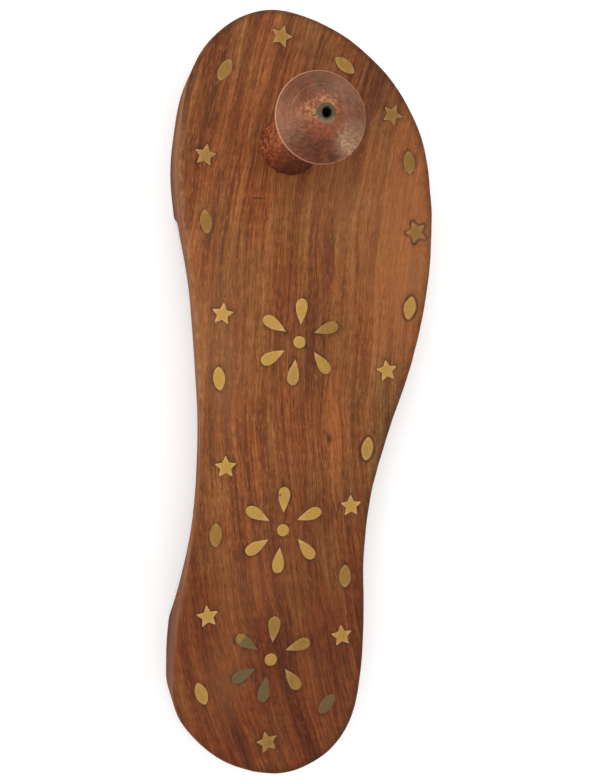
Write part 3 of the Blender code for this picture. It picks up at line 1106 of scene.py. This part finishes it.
def read_seats(nodes: dict[str, Object]) -> list[Seat]:
    """Measure where every brass plate lies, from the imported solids.

    Args:
        nodes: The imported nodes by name.

    Returns:
        One seat for each plate.
    """
    seats = []
    for name in sorted(nodes):
        kind = next((kind for kind in PlateKind if kind.value in name), None)
        if kind is None:
            continue
        loop = packed_loop(nodes[name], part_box(name)[1].z)
        middle = area_centre(loop)
        arms = loop - middle
        tip = arms[np.argmax(np.linalg.norm(arms, axis=1))]
        way = tip / np.linalg.norm(tip)
        if kind in (PlateKind.LEAF, PlateKind.PETAL):
            along = arms @ way
            middle = middle + way * 0.5 * (along.min() + along.max())
        turn = math.atan2(way[1], way[0]) + (0.5 if kind is PlateKind.PETAL else -0.5) * math.pi
        seats.append(Seat(name, kind, float(middle[0]), float(middle[1]), turn))
    return seats


@dataclass
class BrassPlate:
    """One shape of brass plate, drawn about the origin with its top at z = 0."""

    kind: ClassVar[PlateKind]
    title: ClassVar[str]
    thickness: float = 0.0012
    softness: float = 0.00004
    grid: float = 0.00042
    rim_reach: float = 0.00050
    rim_marks: int = 240
    curve_points: int = 48

    def outline(self) -> Array:
        """Draw the plate's outline, anticlockwise."""
        raise NotImplementedError

    def pointed(self, flat: Array) -> Array:
        """Tell how near each point is to a pointed end: 1 or more there, and 0 or less away from it."""
        return np.zeros(len(flat))

    def build(self, brass: Material) -> Object:
        """Build the plate that is set on every seat of its kind.

        Args:
            brass: The plate's material.

        Returns:
            The plate's object.
        """
        loop = self.outline()
        skin = Skin(("rim", "tip", "reach"))
        soft = self.softness
        levels = ((0.0, -self.thickness), (0.0, -soft), (0.3 * soft, -0.3 * soft), (soft, 0.0))
        rings = [raised(grow(loop, -inset), height) for inset, height in levels]
        top = rings[-1][:, :2]
        flat, corners = fill(top, [], spread(grow(top, -0.5 * self.grid), self.grid))
        low, high = loop[:, 1].min(), loop[:, 1].max()
        rim = np.exp(-nearest(flat, even_loop(loop, self.rim_marks)) / self.rim_reach)
        tip = np.clip(self.pointed(flat), 0.0, 1.0)
        skin.rings(rings, rim=1.0, reach=0.5)
        skin.patch(raised(flat, 0.0), corners, rim=rim, tip=tip, reach=(flat[:, 1] - low) / (high - low))
        skin.lid(rings[0], rim=1.0)
        return skin.finish(f"{self.title}_pattern", [brass])


@dataclass
class StarPlate(BrassPlate):
    """A five-pointed star."""

    kind: ClassVar[PlateKind] = PlateKind.STAR
    title: ClassVar[str] = "brass_stars"
    radius: float = 0.0040
    waist: float = 0.49
    blunt: float = 0.11
    tips: int = 5
    side_points: int = 5

    def outline(self) -> Array:
        """Draw the star with one filed-off tip toward +Y, in short straight stretches.

        Returns:
            The outline's points, anticlockwise.
        """
        angles = np.pi * np.arange(2 * self.tips) / self.tips
        reach = np.where(np.arange(2 * self.tips) % 2, self.waist, 1.0) * self.radius
        corners = np.stack([-reach * np.sin(angles), reach * np.cos(angles)], axis=1)
        down = np.linspace(self.blunt, 1.0, self.side_points)[:-1]
        up = np.linspace(0.0, 1.0 - self.blunt, self.side_points)
        rows = []
        for index, (corner, onward) in enumerate(zip(corners, np.roll(corners, -1, axis=0))):
            run = (up if index % 2 else down)[:, None]
            rows.append(corner * (1.0 - run) + onward * run)
        return np.vstack(rows)

    def pointed(self, flat: Array) -> Array:
        """Tell how near each point is to one of the tips."""
        return np.linalg.norm(flat, axis=1) / self.radius * 1.8 - 0.7


@dataclass
class LeafPlate(BrassPlate):
    """A pointed oval."""

    kind: ClassVar[PlateKind] = PlateKind.LEAF
    title: ClassVar[str] = "brass_leaves"
    length: float = 0.0081
    width: float = 0.0041
    pointedness: float = 0.35

    def outline(self) -> Array:
        """Draw the oval with its tips toward +Y and -Y.

        Returns:
            The outline's points, anticlockwise.
        """
        angles, _ = round_points(self.curve_points)
        bulge = np.sin(angles) * np.abs(np.sin(angles)) ** self.pointedness
        return np.stack([-0.5 * self.width * bulge, 0.5 * self.length * np.cos(angles)], axis=1)

    def pointed(self, flat: Array) -> Array:
        """Tell how near each point is to one of the two tips."""
        return np.abs(flat[:, 1]) / self.length * 4.0 - 1.2


@dataclass
class PetalPlate(BrassPlate):
    """A teardrop."""

    kind: ClassVar[PlateKind] = PlateKind.PETAL
    title: ClassVar[str] = "brass_petals"
    length: float = 0.0091
    width: float = 0.0041
    pointedness: float = 1.3

    def outline(self) -> Array:
        """Draw the teardrop with its tip toward -Y.

        Returns:
            The outline's points, anticlockwise.
        """
        angles, _ = round_points(self.curve_points)
        bulge = np.sin(angles) * np.abs(np.sin(0.5 * angles)) ** self.pointedness
        return np.stack([0.5 * self.width * bulge / bulge.max(), -0.5 * self.length * np.cos(angles)], axis=1)

    def pointed(self, flat: Array) -> Array:
        """Tell how near each point is to the tip."""
        return -flat[:, 1] / self.length * 3.0 - 0.4


@dataclass
class DotPlate(BrassPlate):
    """A round dot."""

    kind: ClassVar[PlateKind] = PlateKind.DOT
    title: ClassVar[str] = "brass_dots"
    diameter: float = 0.0042
    curve_points: int = 40

    def outline(self) -> Array:
        """Draw the dot."""
        return round_points(self.curve_points)[1] * 0.5 * self.diameter


class GeometryBench(Bench):
    """A tree of geometry nodes that dresses one object and then leaves a plain mesh."""

    def __init__(self, name: str) -> None:
        """Start a tree that takes a geometry in and gives one out.

        Args:
            name: Its name.
        """
        super().__init__(bpy.data.node_groups.new(name, "GeometryNodeTree"))
        for side in ("INPUT", "OUTPUT"):
            self.tree.interface.new_socket("Geometry", in_out=side, socket_type="NodeSocketGeometry")
        self.source = self.add("NodeGroupInput")
        self.values: dict[str, object] = {}

    def take(self, name: str, kind: str, value: object) -> Wire:
        """Add a named input.

        Args:
            name: The input's name.
            kind: The kind of socket, such as Float, Int, Object or Material.
            value: What the modifier sets it to.

        Returns:
            What the tree reads it from.
        """
        made = self.tree.interface.new_socket(name, in_out="INPUT", socket_type=f"NodeSocket{kind}")
        self.values[made.identifier] = value
        return Wire(self, self.source.outputs[name])

    def named(self, name: str) -> Wire:
        """Read a number that the points keep by name."""
        return self.give("GeometryNodeInputNamedAttribute", {"Name": name}, data_type="FLOAT")

    def chance(self, least: Feed, most: Feed, seed: Feed) -> Wire:
        """Draw a number for each point."""
        feeds = {2: least, 3: most, "Seed": seed}
        return self.give("FunctionNodeRandomValue", feeds, 1, data_type="FLOAT")

    def spin(self, angle: Feed) -> Wire:
        """Give a turn about z."""
        return self.give("FunctionNodeEulerToRotation", {0: self.join(0.0, 0.0, angle)})

    def real(self, points: Feed, pattern: Feed, rotation: Feed, scale: Feed) -> Wire:
        """Set a pattern object on every point and make the instances real.

        Args:
            points: The points.
            pattern: The object to set.
            rotation: How each one is turned.
            scale: How large each one is.

        Returns:
            The real geometry.
        """
        shape = self.give("GeometryNodeObjectInfo", {"Object": pattern}, "Geometry")
        feeds = {"Points": points, "Instance": shape, "Rotation": rotation, "Scale": scale}
        laid = self.give("GeometryNodeInstanceOnPoints", feeds)
        return self.give("GeometryNodeRealizeInstances", {0: laid})

    def run(self, name: str, start: Mesh, geometry: Feed, material: Feed) -> Object:
        """Give the geometry its material, run the tree over a mesh and keep the result as a plain mesh.

        Args:
            name: The name of the new piece.
            start: The mesh that the tree starts from.
            geometry: What the tree has made so far.
            material: The input that holds the material.

        Returns:
            The new piece, without a modifier.
        """
        dressed = self.give("GeometryNodeSetMaterial", {"Geometry": geometry, "Material": material})
        self.add("NodeGroupOutput", {0: dressed})
        carrier = place_thing(f"{name}_carrier", start)
        modifier = carrier.modifiers.new("build", "NODES")
        modifier.node_group = self.tree
        for identifier, value in self.values.items():
            modifier[identifier] = value
        shown = carrier.evaluated_get(bpy.context.evaluated_depsgraph_get())
        data = bpy.data.meshes.new_from_object(shown)
        data.name = name
        bpy.data.objects.remove(carrier)
        return place_thing(name, data)


def point_mesh(name: str, points: Array, **traits: Sequence[float]) -> Mesh:
    """Make a mesh of loose points.

    Args:
        name: The mesh's name.
        points: The points, one row each.
        **traits: One number for each point, by name.

    Returns:
        The mesh.
    """
    data = bpy.data.meshes.new(name)
    data.from_pydata([tuple(point) for point in points], [], [])
    for trait, values in traits.items():
        data.attributes.new(trait, "FLOAT", "POINT").data.foreach_set("value", list(values))
    return data


@dataclass
class Sole:
    """The carved sole: its flat deck, side wall, toe block, scooped arch and heel block."""

    deck: float
    edge: Array
    seats: list[Seat]
    pockets: list[Array]
    arch_front: float = 0.063
    arch_back: float = -0.080
    arch_rise: float = 0.0165
    toe_spring_start: float = 0.100
    toe_spring_length: float = 0.030
    toe_spring_rise: float = 0.003
    arris: float = 0.0009
    arris_nicks: float = 0.45
    arris_reach: float = 0.0005
    foot_arris: float = 0.0006
    pocket_depth: float = 0.0015
    halo_reach: float = 0.0008
    knife_reach: float = 0.0005
    knife_width: float = 0.00022
    deck_wave: float = 0.00007
    wall_wave: float = 0.00016
    arch_wave: float = 0.00018
    deck_grid: float = 0.0019
    pocket_rings: Sequence[float] = (0.00025, 0.0006, 0.0011, 0.0018)
    knife_rings: Sequence[float] = (-0.0003, -0.00015, 0.0, 0.00015, 0.0003)
    foot_grid: Pair = (0.003, 0.0025)
    turn_grid: float = 0.00035
    edge_points: int = 900
    edge_marks: int = 2400
    pocket_marks: int = 160
    knife_marks: int = 150
    # How far the loose points of a face stay away from its outline and from the pockets
    grid_margin: float = 0.0009
    deck_margin: float = 0.0006
    foot_margin: float = 0.0005
    pocket_margin: float = 0.0001
    foot_span: Pair = (-0.129, 0.129)
    turn_span: Pair = (-0.004, 0.0025)
    turn_blur: Sequence[float] = (-0.0006, -0.0003, 0.0, 0.0003, 0.0006)
    scoop_fade: float = 0.004
    arris_angles: Sequence[float] = (0.0, 22.0, 45.0, 68.0, 90.0)
    foot_arris_angles: Sequence[float] = (0.0, 45.0, 90.0)
    wall_span: Pair = (0.08, 0.92)
    wall_rows: int = 9
    foot_tooling: Tooling = ((0.016, 0.007, 1.0), 3.7)
    deck_tooling: Tooling = ((0.022, 0.045, 1.0), 11.3)
    arris_tooling: Tooling = ((0.006, 0.006, 1.0), 21.9)
    wall_tooling: Tooling = ((0.020, 0.020, 0.012), 5.1)
    knife_tooling: Tooling = ((0.0035, 0.0035, 1.0), 41.2)
    # The scoop from its front to its back, as shares of its length and of its height
    profile: Sequence[Pair] = (
        (0.000, 0.00), (0.012, 0.30), (0.022, 0.50), (0.060, 0.66), (0.120, 0.86), (0.190, 0.98),
        (0.260, 1.00), (0.760, 1.00), (0.830, 0.94), (0.890, 0.74), (0.940, 0.46), (0.975, 0.20),
        (1.000, 0.00),
    )
    ledger: tuple[Array, Array] = field(init=False)

    def __post_init__(self) -> None:
        """Draw the underside's profile once, so that its height can be looked up."""
        table = np.array(self.profile)
        length = self.arch_front - self.arch_back
        points = np.stack([self.arch_front - table[:, 0] * length, table[:, 1] * self.arch_rise], axis=1)
        turned = np.vstack([points, points[-1:] - (0.01, 0.0), points[:1] + (0.01, 0.0)])
        line = smooth_loop(turned, 12)[:12 * (len(points) - 1) + 1]
        order = np.argsort(line[:, 0])
        self.ledger = (line[order, 0], np.maximum(line[order, 1], 0.0))

    def foot(self, flat: Array) -> Array:
        """Give the underside's height, with its turns rounded and its tool waves.

        Args:
            flat: The points' x and y.

        Returns:
            One height for each point.
        """
        y = flat[:, 1]
        height = np.zeros(len(flat))
        for offset in self.turn_blur:
            height += 0.2 * np.interp(y + offset, *self.ledger, left=0.0, right=0.0)
        chisel = waves(flat, *self.foot_tooling)
        height += self.arch_wave * chisel * np.clip(height / self.scoop_fade, 0.0, 1.0)
        share = np.clip((y - self.toe_spring_start) / self.toe_spring_length, 0.0, None)
        return height + self.toe_spring_rise * share ** 2

    def top(self, flat: Array) -> Array:
        """Give the hand-planed deck's height at some points."""
        return self.deck + self.deck_wave * waves(flat, *self.deck_tooling)

    def wall_rings(self) -> tuple[list[Array], list[float], list[float]]:
        """Draw the rings of the side wall, from the deck over both arrises to the underside.

        Returns:
            The rings, and how much each belongs to the arris and to the wall.
        """
        loop = even_loop(smooth_loop(self.edge, 4), self.edge_points)
        away = outward(loop)
        arris = self.arris * (1.0 + self.arris_nicks * waves(loop, *self.arris_tooling))
        # Each ring's inset, its drop below the deck or the foot, its share of the wall, and its two traits
        plan = []
        for angle in np.radians(self.arris_angles):
            sin, cos = math.sin(angle), math.cos(angle)
            plan.append((arris * (1.0 - sin), arris * (1.0 - cos), None, 1.0, sin))
        for share in np.linspace(*self.wall_span, self.wall_rows):
            plan.append((0.0, None, share, 0.0, 1.0))
        for angle in np.radians(self.foot_arris_angles):
            drop = -self.foot_arris * (1.0 - math.sin(angle))
            plan.append((self.foot_arris * (1.0 - math.cos(angle)), drop, -1.0, 0.0, 1.0))
        rings = []
        for inset, drop, share, _, _ in plan:
            bare = raised(loop, self.deck * (1.0 - (share or 0.0)))
            push = self.wall_wave * waves(bare, *self.wall_tooling)
            flat = loop + away * (push - inset)[:, None]
            if share is None:
                height = self.top(flat) - drop
            elif share < 0.0:
                height = self.foot(flat) - drop
            else:
                high, low = self.top(flat) - arris, self.foot(flat) + self.foot_arris
                height = high + (low - high) * share
            rings.append(raised(flat, height))
        return rings, [row[3] for row in plan], [row[4] for row in plan]

    def build(self, wood: Material) -> Object:
        """Build the sole.

        Args:
            wood: Its material.

        Returns:
            The sole's object.
        """
        skin = Skin(("halo", "scribe", "arris", "wall", "under"))
        rings, arrises, walls = self.wall_rings()
        skin.rings(rings, arris=arrises, wall=walls)
        self.lay_deck(skin, rings[0][:, :2])
        self.lay_underside(skin, rings[-1][:, :2])
        for pocket in self.pockets:
            height = self.top(pocket)
            floor = raised(pocket, height - self.pocket_depth)
            skin.rings([raised(pocket, height), floor], halo=1.0)
            skin.lid(floor, halo=1.0)
        return skin.finish("sole_block", [wood], 35.0)

    def lay_deck(self, skin: Skin, outer: Array) -> None:
        """Fill the deck between its edge and the pockets, with finer triangles near the pockets.

        Args:
            skin: The skin that the deck goes into.
            outer: The deck's outline.
        """
        loose = [spread(grow(outer, -self.grid_margin), self.deck_grid)]
        for reach in self.pocket_rings:
            loose.extend(grow(pocket, reach)[::2] for pocket in self.pockets)
        scribed = [pocket for seat, pocket in zip(self.seats, self.pockets) if seat.node in SCRIBED]
        knife_lines = [even_loop(grow(pocket, self.knife_reach), self.knife_marks) for pocket in scribed]
        for aside in self.knife_rings:
            loose.extend(grow(line, aside) for line in knife_lines)
        points = np.vstack(loose)
        points = points[inside(points, grow(outer, -self.deck_margin))]
        for pocket in self.pockets:
            points = points[~inside(points, grow(pocket, self.pocket_margin))]
        flat, corners = fill(outer, self.pockets, points)
        marks = np.vstack([even_loop(pocket, self.pocket_marks) for pocket in self.pockets])
        halo = np.exp(-(nearest(flat, marks) / self.halo_reach) ** 1.3)
        firm = np.clip(0.9 + 0.6 * waves(flat, *self.knife_tooling), 0.0, 1.0)
        scribe = np.exp(-(nearest(flat, np.vstack(knife_lines)) / self.knife_width) ** 2) * firm
        arris = np.exp(-nearest(flat, even_loop(outer, self.edge_marks)) / self.arris_reach)
        skin.patch(raised(flat, self.top(flat)), corners, halo=halo, scribe=scribe, arris=arris)

    def lay_underside(self, skin: Skin, outer: Array) -> None:
        """Fill the underside, with close rows where it turns.

        Args:
            skin: The skin that the underside goes into.
            outer: The underside's outline.
        """
        rows = [np.arange(*self.foot_span, self.foot_grid[1])]
        for turn in (self.arch_front, self.arch_back):
            rows.append(np.arange(turn + self.turn_span[0], turn + self.turn_span[1], self.turn_grid))
        across = np.arange(outer[:, 0].min(), outer[:, 0].max(), self.foot_grid[0])
        stations = np.unique(np.round(np.concatenate(rows), 5))
        grid = np.stack(np.meshgrid(across, stations), axis=-1).reshape(-1, 2)
        flat, corners = fill(outer, [], grid[inside(grid, grow(outer, -self.foot_margin))])
        skin.patch(raised(flat, self.foot(flat)), corners, under=1.0, wall=0.4)


@dataclass
class BrassInlays:
    """The stars, leaves, petals and dots of brass, set into the deck in lac."""

    sole: Sole
    plates: Sequence[BrassPlate]
    unevenness: float = 0.00022
    cell: float = 0.0021
    seed: float = 4.0
    lac_gap: float = 0.00017
    lac_tuck: float = 0.0001
    lac_depth: float = 0.0005
    lac_sunk: float = 0.00002
    lac_tooling: Tooling = ((0.0012, 0.0012, 1.0), 8.8)
    swell: float = 0.03
    swell_tooling: Tooling = ((0.011, 0.011, 1.0), 31.7)

    def set_plates(self, plate: BrassPlate, brass: Material) -> None:
        """Set every plate of one kind, and file each a little unevenly.

        Args:
            plate: The shape of the plate.
            brass: The material.
        """
        seats = [seat for seat in self.sole.seats if seat.kind is plate.kind]
        flat = np.array([(seat.x, seat.y) for seat in seats])
        tones, covers = zip(*(seat.age() for seat in seats))
        swell = 1.0 + self.swell * waves(flat, *self.swell_tooling)
        start = point_mesh("seats", raised(flat, self.sole.top(flat)), turn=[seat.turn for seat in seats],
                           swell=swell, tone=tones, cover=covers)
        pattern = plate.build(brass)
        bench = GeometryBench("Set plates")
        shape = bench.take("Plate", "Object", pattern)
        uneven = bench.take("Unevenness", "Float", self.unevenness)
        cell = bench.take("Unevenness Size", "Float", self.cell)
        seed = bench.take("Seed", "Float", self.seed)
        finish = bench.take("Finish", "Material", brass)
        turn, size = bench.spin(bench.named("turn")), bench.named("swell")
        real = bench.real(bench.source.outputs[0], shape, turn, size)
        x, y, _ = bench.split(bench.give("GeometryNodeInputPosition"))
        place = bench.join(bench.math("DIVIDE", x, cell), bench.math("DIVIDE", y, cell), seed)
        cloud = bench.give("ShaderNodeTexNoise", {"Vector": place, "Scale": 1.0, "Detail": 1.0}, 1)
        shift = bench.vector("SUBTRACT", cloud, (0.5, 0.5, 0.5))
        shift = bench.vector("MULTIPLY", shift, bench.join(uneven, uneven, 0.0))
        moved = bench.give("GeometryNodeSetPosition", {"Geometry": real, "Offset": shift})
        piece = bench.run(plate.title, start, moved, finish)
        bpy.data.objects.remove(pattern)
        hand_over(piece, [seat.node for seat in seats])

    def fill_gaps(self, lac: Material) -> None:
        """Lay the thin uneven line of lac round every plate.

        Args:
            lac: The material.
        """
        shapes = {plate.kind: plate.outline() for plate in self.plates}
        skin = Skin()
        for seat in self.sole.seats:
            loop = seat.carry(shapes[seat.kind])
            outer, inner = grow(loop, self.lac_gap), grow(loop, -self.lac_tuck)
            high = self.sole.top(outer) - self.lac_sunk * (1.0 + waves(outer, *self.lac_tooling))
            low = high - self.lac_depth
            corners = ((outer, high), (inner, high), (inner, low), (outer, low))
            skin.rings([raised(*corner) for corner in corners], round_trip=True)
        hand_over(skin.finish("setting_lac_lines", [lac]), [])

    def build(self) -> None:
        """Set all the brass and its lac."""
        brass = InlaidBrass().dress()
        for plate in self.plates:
            self.set_plates(plate, brass)
        self.fill_gaps(SettingLac().dress())


@dataclass
class ToeKnob:
    """The turned toe knob: a rough stem under a wide hollow-sided cap with a nub and a hole."""

    x: float
    y: float
    deck: float
    height: float
    cap_radius: float
    cap_edge: float = 0.0014
    cap_rise: float = 0.0058
    cap_hollow: float = 1.3
    cove: float = 0.0055
    stem_radius: float = 0.0096
    nub_radius: float = 0.0032
    nub_height: float = 0.0010
    hole_radius: float = 0.00125
    hole_depth: float = 0.0080
    rim_round: float = 0.0004
    torn_radius: float = 0.0060
    torn_depth: float = 0.00022
    stem_torn: float = 0.00080
    smooth_share: float = 0.35
    coarse_tears: Tooling = ((0.0021, 0.0021, 0.0034), 2.2)
    small_tears: Tooling = ((0.0008, 0.0008, 0.0013), 6.1)
    segments: int = 192
    stem_rows: int = 64
    cove_rows: int = 13
    cap_rows: int = 30
    # The stem's flared foot, as what it adds to the radius and its height above the deck
    stem_foot: Sequence[Pair] = ((0.0006, -0.0005), (0.0005, 0.0002))
    stem_start: float = 0.0007
    hole_steps: Sequence[float] = (0.0004, 0.0015, 0.0040)
    # The arc and the heights of the stem that splinters stand on
    splinter_arc: Pair = (85.0, 285.0)
    splinter_band: Pair = (0.0004, 0.026)
    splinter_density: float = 260000.0
    splinter_scale: Pair = (0.35, 1.25)
    splinter_seed: int = 7
    splinter_length: float = 0.0013
    splinter_curl: float = 0.00045
    splinter_radius: float = 0.00007
    full_turn: float = 6.283

    def profile(self) -> list[tuple[float, float, float, int]]:
        """Draw the turned profile from the foot of the stem to the bottom of the hole.

        Returns:
            Rows of radius, height above the deck, how torn the wood is, and the material's number.
        """
        rim = self.height - self.nub_height - self.cap_rise
        under = rim - self.cap_edge
        start = under - self.cove
        top = self.cap_radius - self.rim_round
        rows = [(self.stem_radius + flare, height, 1.0, 1) for flare, height in self.stem_foot]
        for height in np.linspace(self.stem_start, start, self.stem_rows):
            rows.append((self.stem_radius, float(height), 1.0 - 0.7 * float(height / start) ** 3, 1))
        for angle in np.radians(np.linspace(84.0, 0.0, self.cove_rows)):
            radius = top - (top - self.stem_radius) * math.sin(angle)
            rows.append((radius, under - self.cove * (1.0 - math.cos(angle)), 0.2, 0))
        turns = ((under + self.rim_round, (-60, -30, 0)), (rim - self.rim_round, (0, 30, 60, 85)))
        for centre, angles in turns:
            for angle in np.radians(angles):
                radius = top + self.rim_round * math.cos(angle)
                rows.append((radius, centre + self.rim_round * math.sin(angle), 0.0, 0))
        for share in np.linspace(0.03, 1.0, self.cap_rows):
            radius = top - (top - self.nub_radius) * float(share)
            torn = 0.6 * float(np.clip((self.torn_radius - radius) / 0.0012, 0.0, 1.0))
            rows.append((radius, rim + self.cap_rise * float(share) ** self.cap_hollow, torn, 0))
        for share in (0.25, 0.5, 0.75, 1.0):
            radius = self.nub_radius - (self.nub_radius - self.hole_radius) * share * 0.8
            rows.append((radius, self.height - self.nub_height * (1.0 - share) ** 2, 0.35, 0))
        rows.append((self.hole_radius + 0.0001, self.height - 0.0001, 0.2, 0))
        for depth in (*self.hole_steps, self.hole_depth):
            rows.append((self.hole_radius, self.height - depth, 0.2, 0))
        return rows

    def build(self, cap: Material, stem: Material) -> Object:
        """Turn the knob and tear its rough parts.

        Args:
            cap: The material of the cap.
            stem: The material of the stem.

        Returns:
            The knob's object.
        """
        _, ways = round_points(self.segments)
        side = np.clip(0.5 + ways @ np.array(BIG_TOE_WAY), 0.0, 1.0)
        rough = self.smooth_share + (1.0 - self.smooth_share) * side
        rows = self.profile()
        rings = []
        for radius, height, torn, slot in rows:
            bare = raised(ways * radius, height)
            coarse, small = waves(bare, *self.coarse_tears), waves(bare, *self.small_tears)
            relief = torn * (0.6 * coarse + 0.5 * small)
            push = slot * self.stem_torn * rough * relief
            lift = (1 - slot) * self.torn_depth * relief
            flat = ways * (radius + push)[:, None] + (self.x, self.y)
            rings.append(raised(flat, self.deck + height + lift))
        skin = Skin()
        split = next(index for index, row in enumerate(rows) if row[3] == 0)
        skin.rings(rings[:split + 1], 1)
        skin.rings(rings[split:], 0)
        skin.lid(rings[0], 1)
        skin.lid(rings[-1], 0)
        return skin.finish("turned_toe_knob", [cap, stem], 50.0)

    def torn_band(self) -> Mesh:
        """Draw the part of the stem's surface that the splinters stand on.

        Returns:
            The mesh of that part.
        """
        angles = np.radians(np.linspace(*self.splinter_arc, 21))
        ways = np.stack([np.cos(angles), np.sin(angles)], axis=1) * (self.stem_radius - 0.0001)
        band = bmesh.new()
        low, high = ([band.verts.new((self.x + way[0], self.y + way[1], self.deck + height)) for way in ways]
                     for height in self.splinter_band)
        for index in range(len(ways) - 1):
            band.faces.new((low[index], low[index + 1], high[index + 1], high[index]))
        data = bpy.data.meshes.new("stem_band")
        band.to_mesh(data)
        band.free()
        return data

    def sliver(self, wood: Material) -> Object:
        """Build one three-sided splinter that lies along the stem and curls away from it.

        Args:
            wood: Its material.

        Returns:
            The object that is set at every point.
        """
        skin = Skin()
        rings = []
        for share, width in ((0.0, 1.0), (0.35, 0.8), (1.0, 0.15)):
            _, sides = round_points(3)
            flat = sides * self.splinter_radius * width
            along, rise = share * self.splinter_length, share ** 2 * self.splinter_curl
            rings.append(np.column_stack([flat[:, 0], np.full(3, along), flat[:, 1] + rise]))
        skin.rings(rings)
        skin.lid(rings[0])
        skin.lid(rings[-1])
        return skin.finish("splinter_pattern", [wood])

    def splinters(self, wood: Material) -> Object:
        """Raise torn fibres on the big toe's side of the stem.

        Args:
            wood: Their material.

        Returns:
            The piece that holds them all.
        """
        start = self.torn_band()
        pattern = self.sliver(wood)
        bench = GeometryBench("Raise splinters")
        shape = bench.take("Splinter", "Object", pattern)
        density = bench.take("Splinters per Square Metre", "Float", self.splinter_density)
        shortest = bench.take("Shortest", "Float", self.splinter_scale[0])
        longest = bench.take("Longest", "Float", self.splinter_scale[1])
        seed = bench.take("Seed", "Int", self.splinter_seed)
        finish = bench.take("Finish", "Material", wood)
        feeds = {"Mesh": bench.source.outputs[0], "Density": density, "Seed": seed}
        found = bench.add("GeometryNodeDistributePointsOnFaces", feeds, distribute_method="RANDOM")
        spin = bench.chance(0.0, self.full_turn, seed)
        size = bench.chance(shortest, longest, seed)
        turns = {0: found.outputs["Rotation"], 1: bench.spin(spin)}
        both = bench.give("FunctionNodeRotateRotation", turns, rotation_space="LOCAL")
        real = bench.real(found.outputs["Points"], shape, both, size)
        piece = bench.run("stem_splinters", start, real, finish)
        bpy.data.objects.remove(pattern)
        return piece

    def dress(self) -> None:
        """Build the knob with its finishes and hand it over."""
        rim = self.deck + self.height - self.nub_height - self.cap_rise
        cap = TurnedCapWood(axis=(self.x, self.y, rim), radius=self.cap_radius).dress()
        stem = TornStemWood(axis=(self.x, self.y, self.deck)).dress()
        hand_over(self.build(cap, stem), ["toe_knob"])
        hand_over(self.splinters(SplinterWood().dress()), [])


@dataclass
class Studio:
    """A plain pale floor, soft light from the upper left, and the camera above the sandal."""

    eye: Triple = (-0.08195, 0.01675, 0.37650)
    target: Triple = (-0.00195, 0.00175, 0.02650)
    long_side: int = 784
    focal_pixels: float = 1053.0
    sensor: float = 36.0
    sight: Pair = (0.01, 20.0)
    floor_radius: float = 3.0
    floor_gap: float = 0.00002
    sky: float = 1.0
    key_power: float = 4.5
    key_size: float = 0.90
    key_tint: Triple = (1.0, 0.985, 0.965)
    key_place: Triple = (-0.40, 0.38, 1.05)

    def lay_floor(self) -> None:
        """Lay a round floor that the sandal stands on."""
        disc = bmesh.new()
        bmesh.ops.create_circle(disc, cap_ends=True, segments=96, radius=self.floor_radius)
        data = bpy.data.meshes.new("floor")
        disc.to_mesh(data)
        disc.free()
        data.materials.append(PaleFloor().dress())
        floor = place_thing("floor", data)
        floor.location.z = -self.floor_gap

    def light(self) -> None:
        """Light the sandal from a pale sky and one soft lamp."""
        world = bpy.context.scene.world or bpy.data.worlds.new("studio_sky")
        bpy.context.scene.world = world
        world.use_nodes = True
        background = world.node_tree.nodes["Background"]
        background.inputs["Color"].default_value = seen((255, 255, 255))
        background.inputs["Strength"].default_value = self.sky
        lamp = bpy.data.lights.new("soft_key", "AREA")
        lamp.energy = self.key_power
        lamp.shape = "DISK"
        lamp.size = self.key_size
        lamp.color = self.key_tint
        place_thing("soft_key", lamp).matrix_world = self.aim(self.key_place)

    def aim(self, place: Triple) -> Matrix:
        """Stand at a place and look at the target, with the toe's side up in the picture.

        Args:
            place: Where to stand.

        Returns:
            The matrix for a camera or a lamp.
        """
        eye = Vector(place)
        ahead = (Vector(self.target) - eye).normalized()
        right = ahead.cross(Vector((0.0, 1.0, 0.0))).normalized()
        up = right.cross(ahead)
        return Matrix.Translation(eye) @ Matrix((right, up, -ahead)).transposed().to_4x4()

    def set_camera(self) -> None:
        """Set the camera where the photograph was taken from."""
        lens = bpy.data.cameras.new("camera")
        lens.sensor_width = self.sensor
        lens.lens = self.focal_pixels * self.sensor / self.long_side
        lens.clip_start, lens.clip_end = self.sight
        camera = place_thing("camera", lens)
        camera.matrix_world = self.aim(self.eye)
        bpy.context.scene.camera = camera

    def build(self) -> None:
        """Build the whole studio."""
        self.lay_floor()
        self.light()
        self.set_camera()
        bpy.context.scene.view_settings.view_transform = "Standard"


def main() -> None:
    """Dress the packed sandal: its sole, its brass, its toe knob and the studio round it."""
    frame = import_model()
    nodes = frame["nodes"]
    Studio().build()

    _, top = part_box("sole")
    wall_top = max(vertex.co.z for vertex in nodes["sole"].data.vertices if vertex.co.x > top.x - 1e-5)
    seats = read_seats(nodes)
    plates = (StarPlate(), LeafPlate(), PetalPlate(), DotPlate())
    shapes = {plate.kind: grow(plate.outline(), POCKET_GAP) for plate in plates}
    pockets = [seat.carry(shapes[seat.kind]) for seat in seats]
    sole = Sole(deck=top.z, edge=packed_loop(nodes["sole"], wall_top), seats=seats, pockets=pockets)
    hand_over(sole.build(CarvedWood().dress()), ["sole"])

    BrassInlays(sole=sole, plates=plates).build()

    low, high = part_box("toe_knob")
    middle = (low + high) / 2
    radius = (high.x - low.x) / 2
    ToeKnob(x=middle.x, y=middle.y, deck=top.z, height=high.z - top.z, cap_radius=radius).dress()

    LOG.info("the sandal is dressed")


if __name__ == "__main__":
    logging.basicConfig(level=logging.INFO, format="%(message)s")
    main()
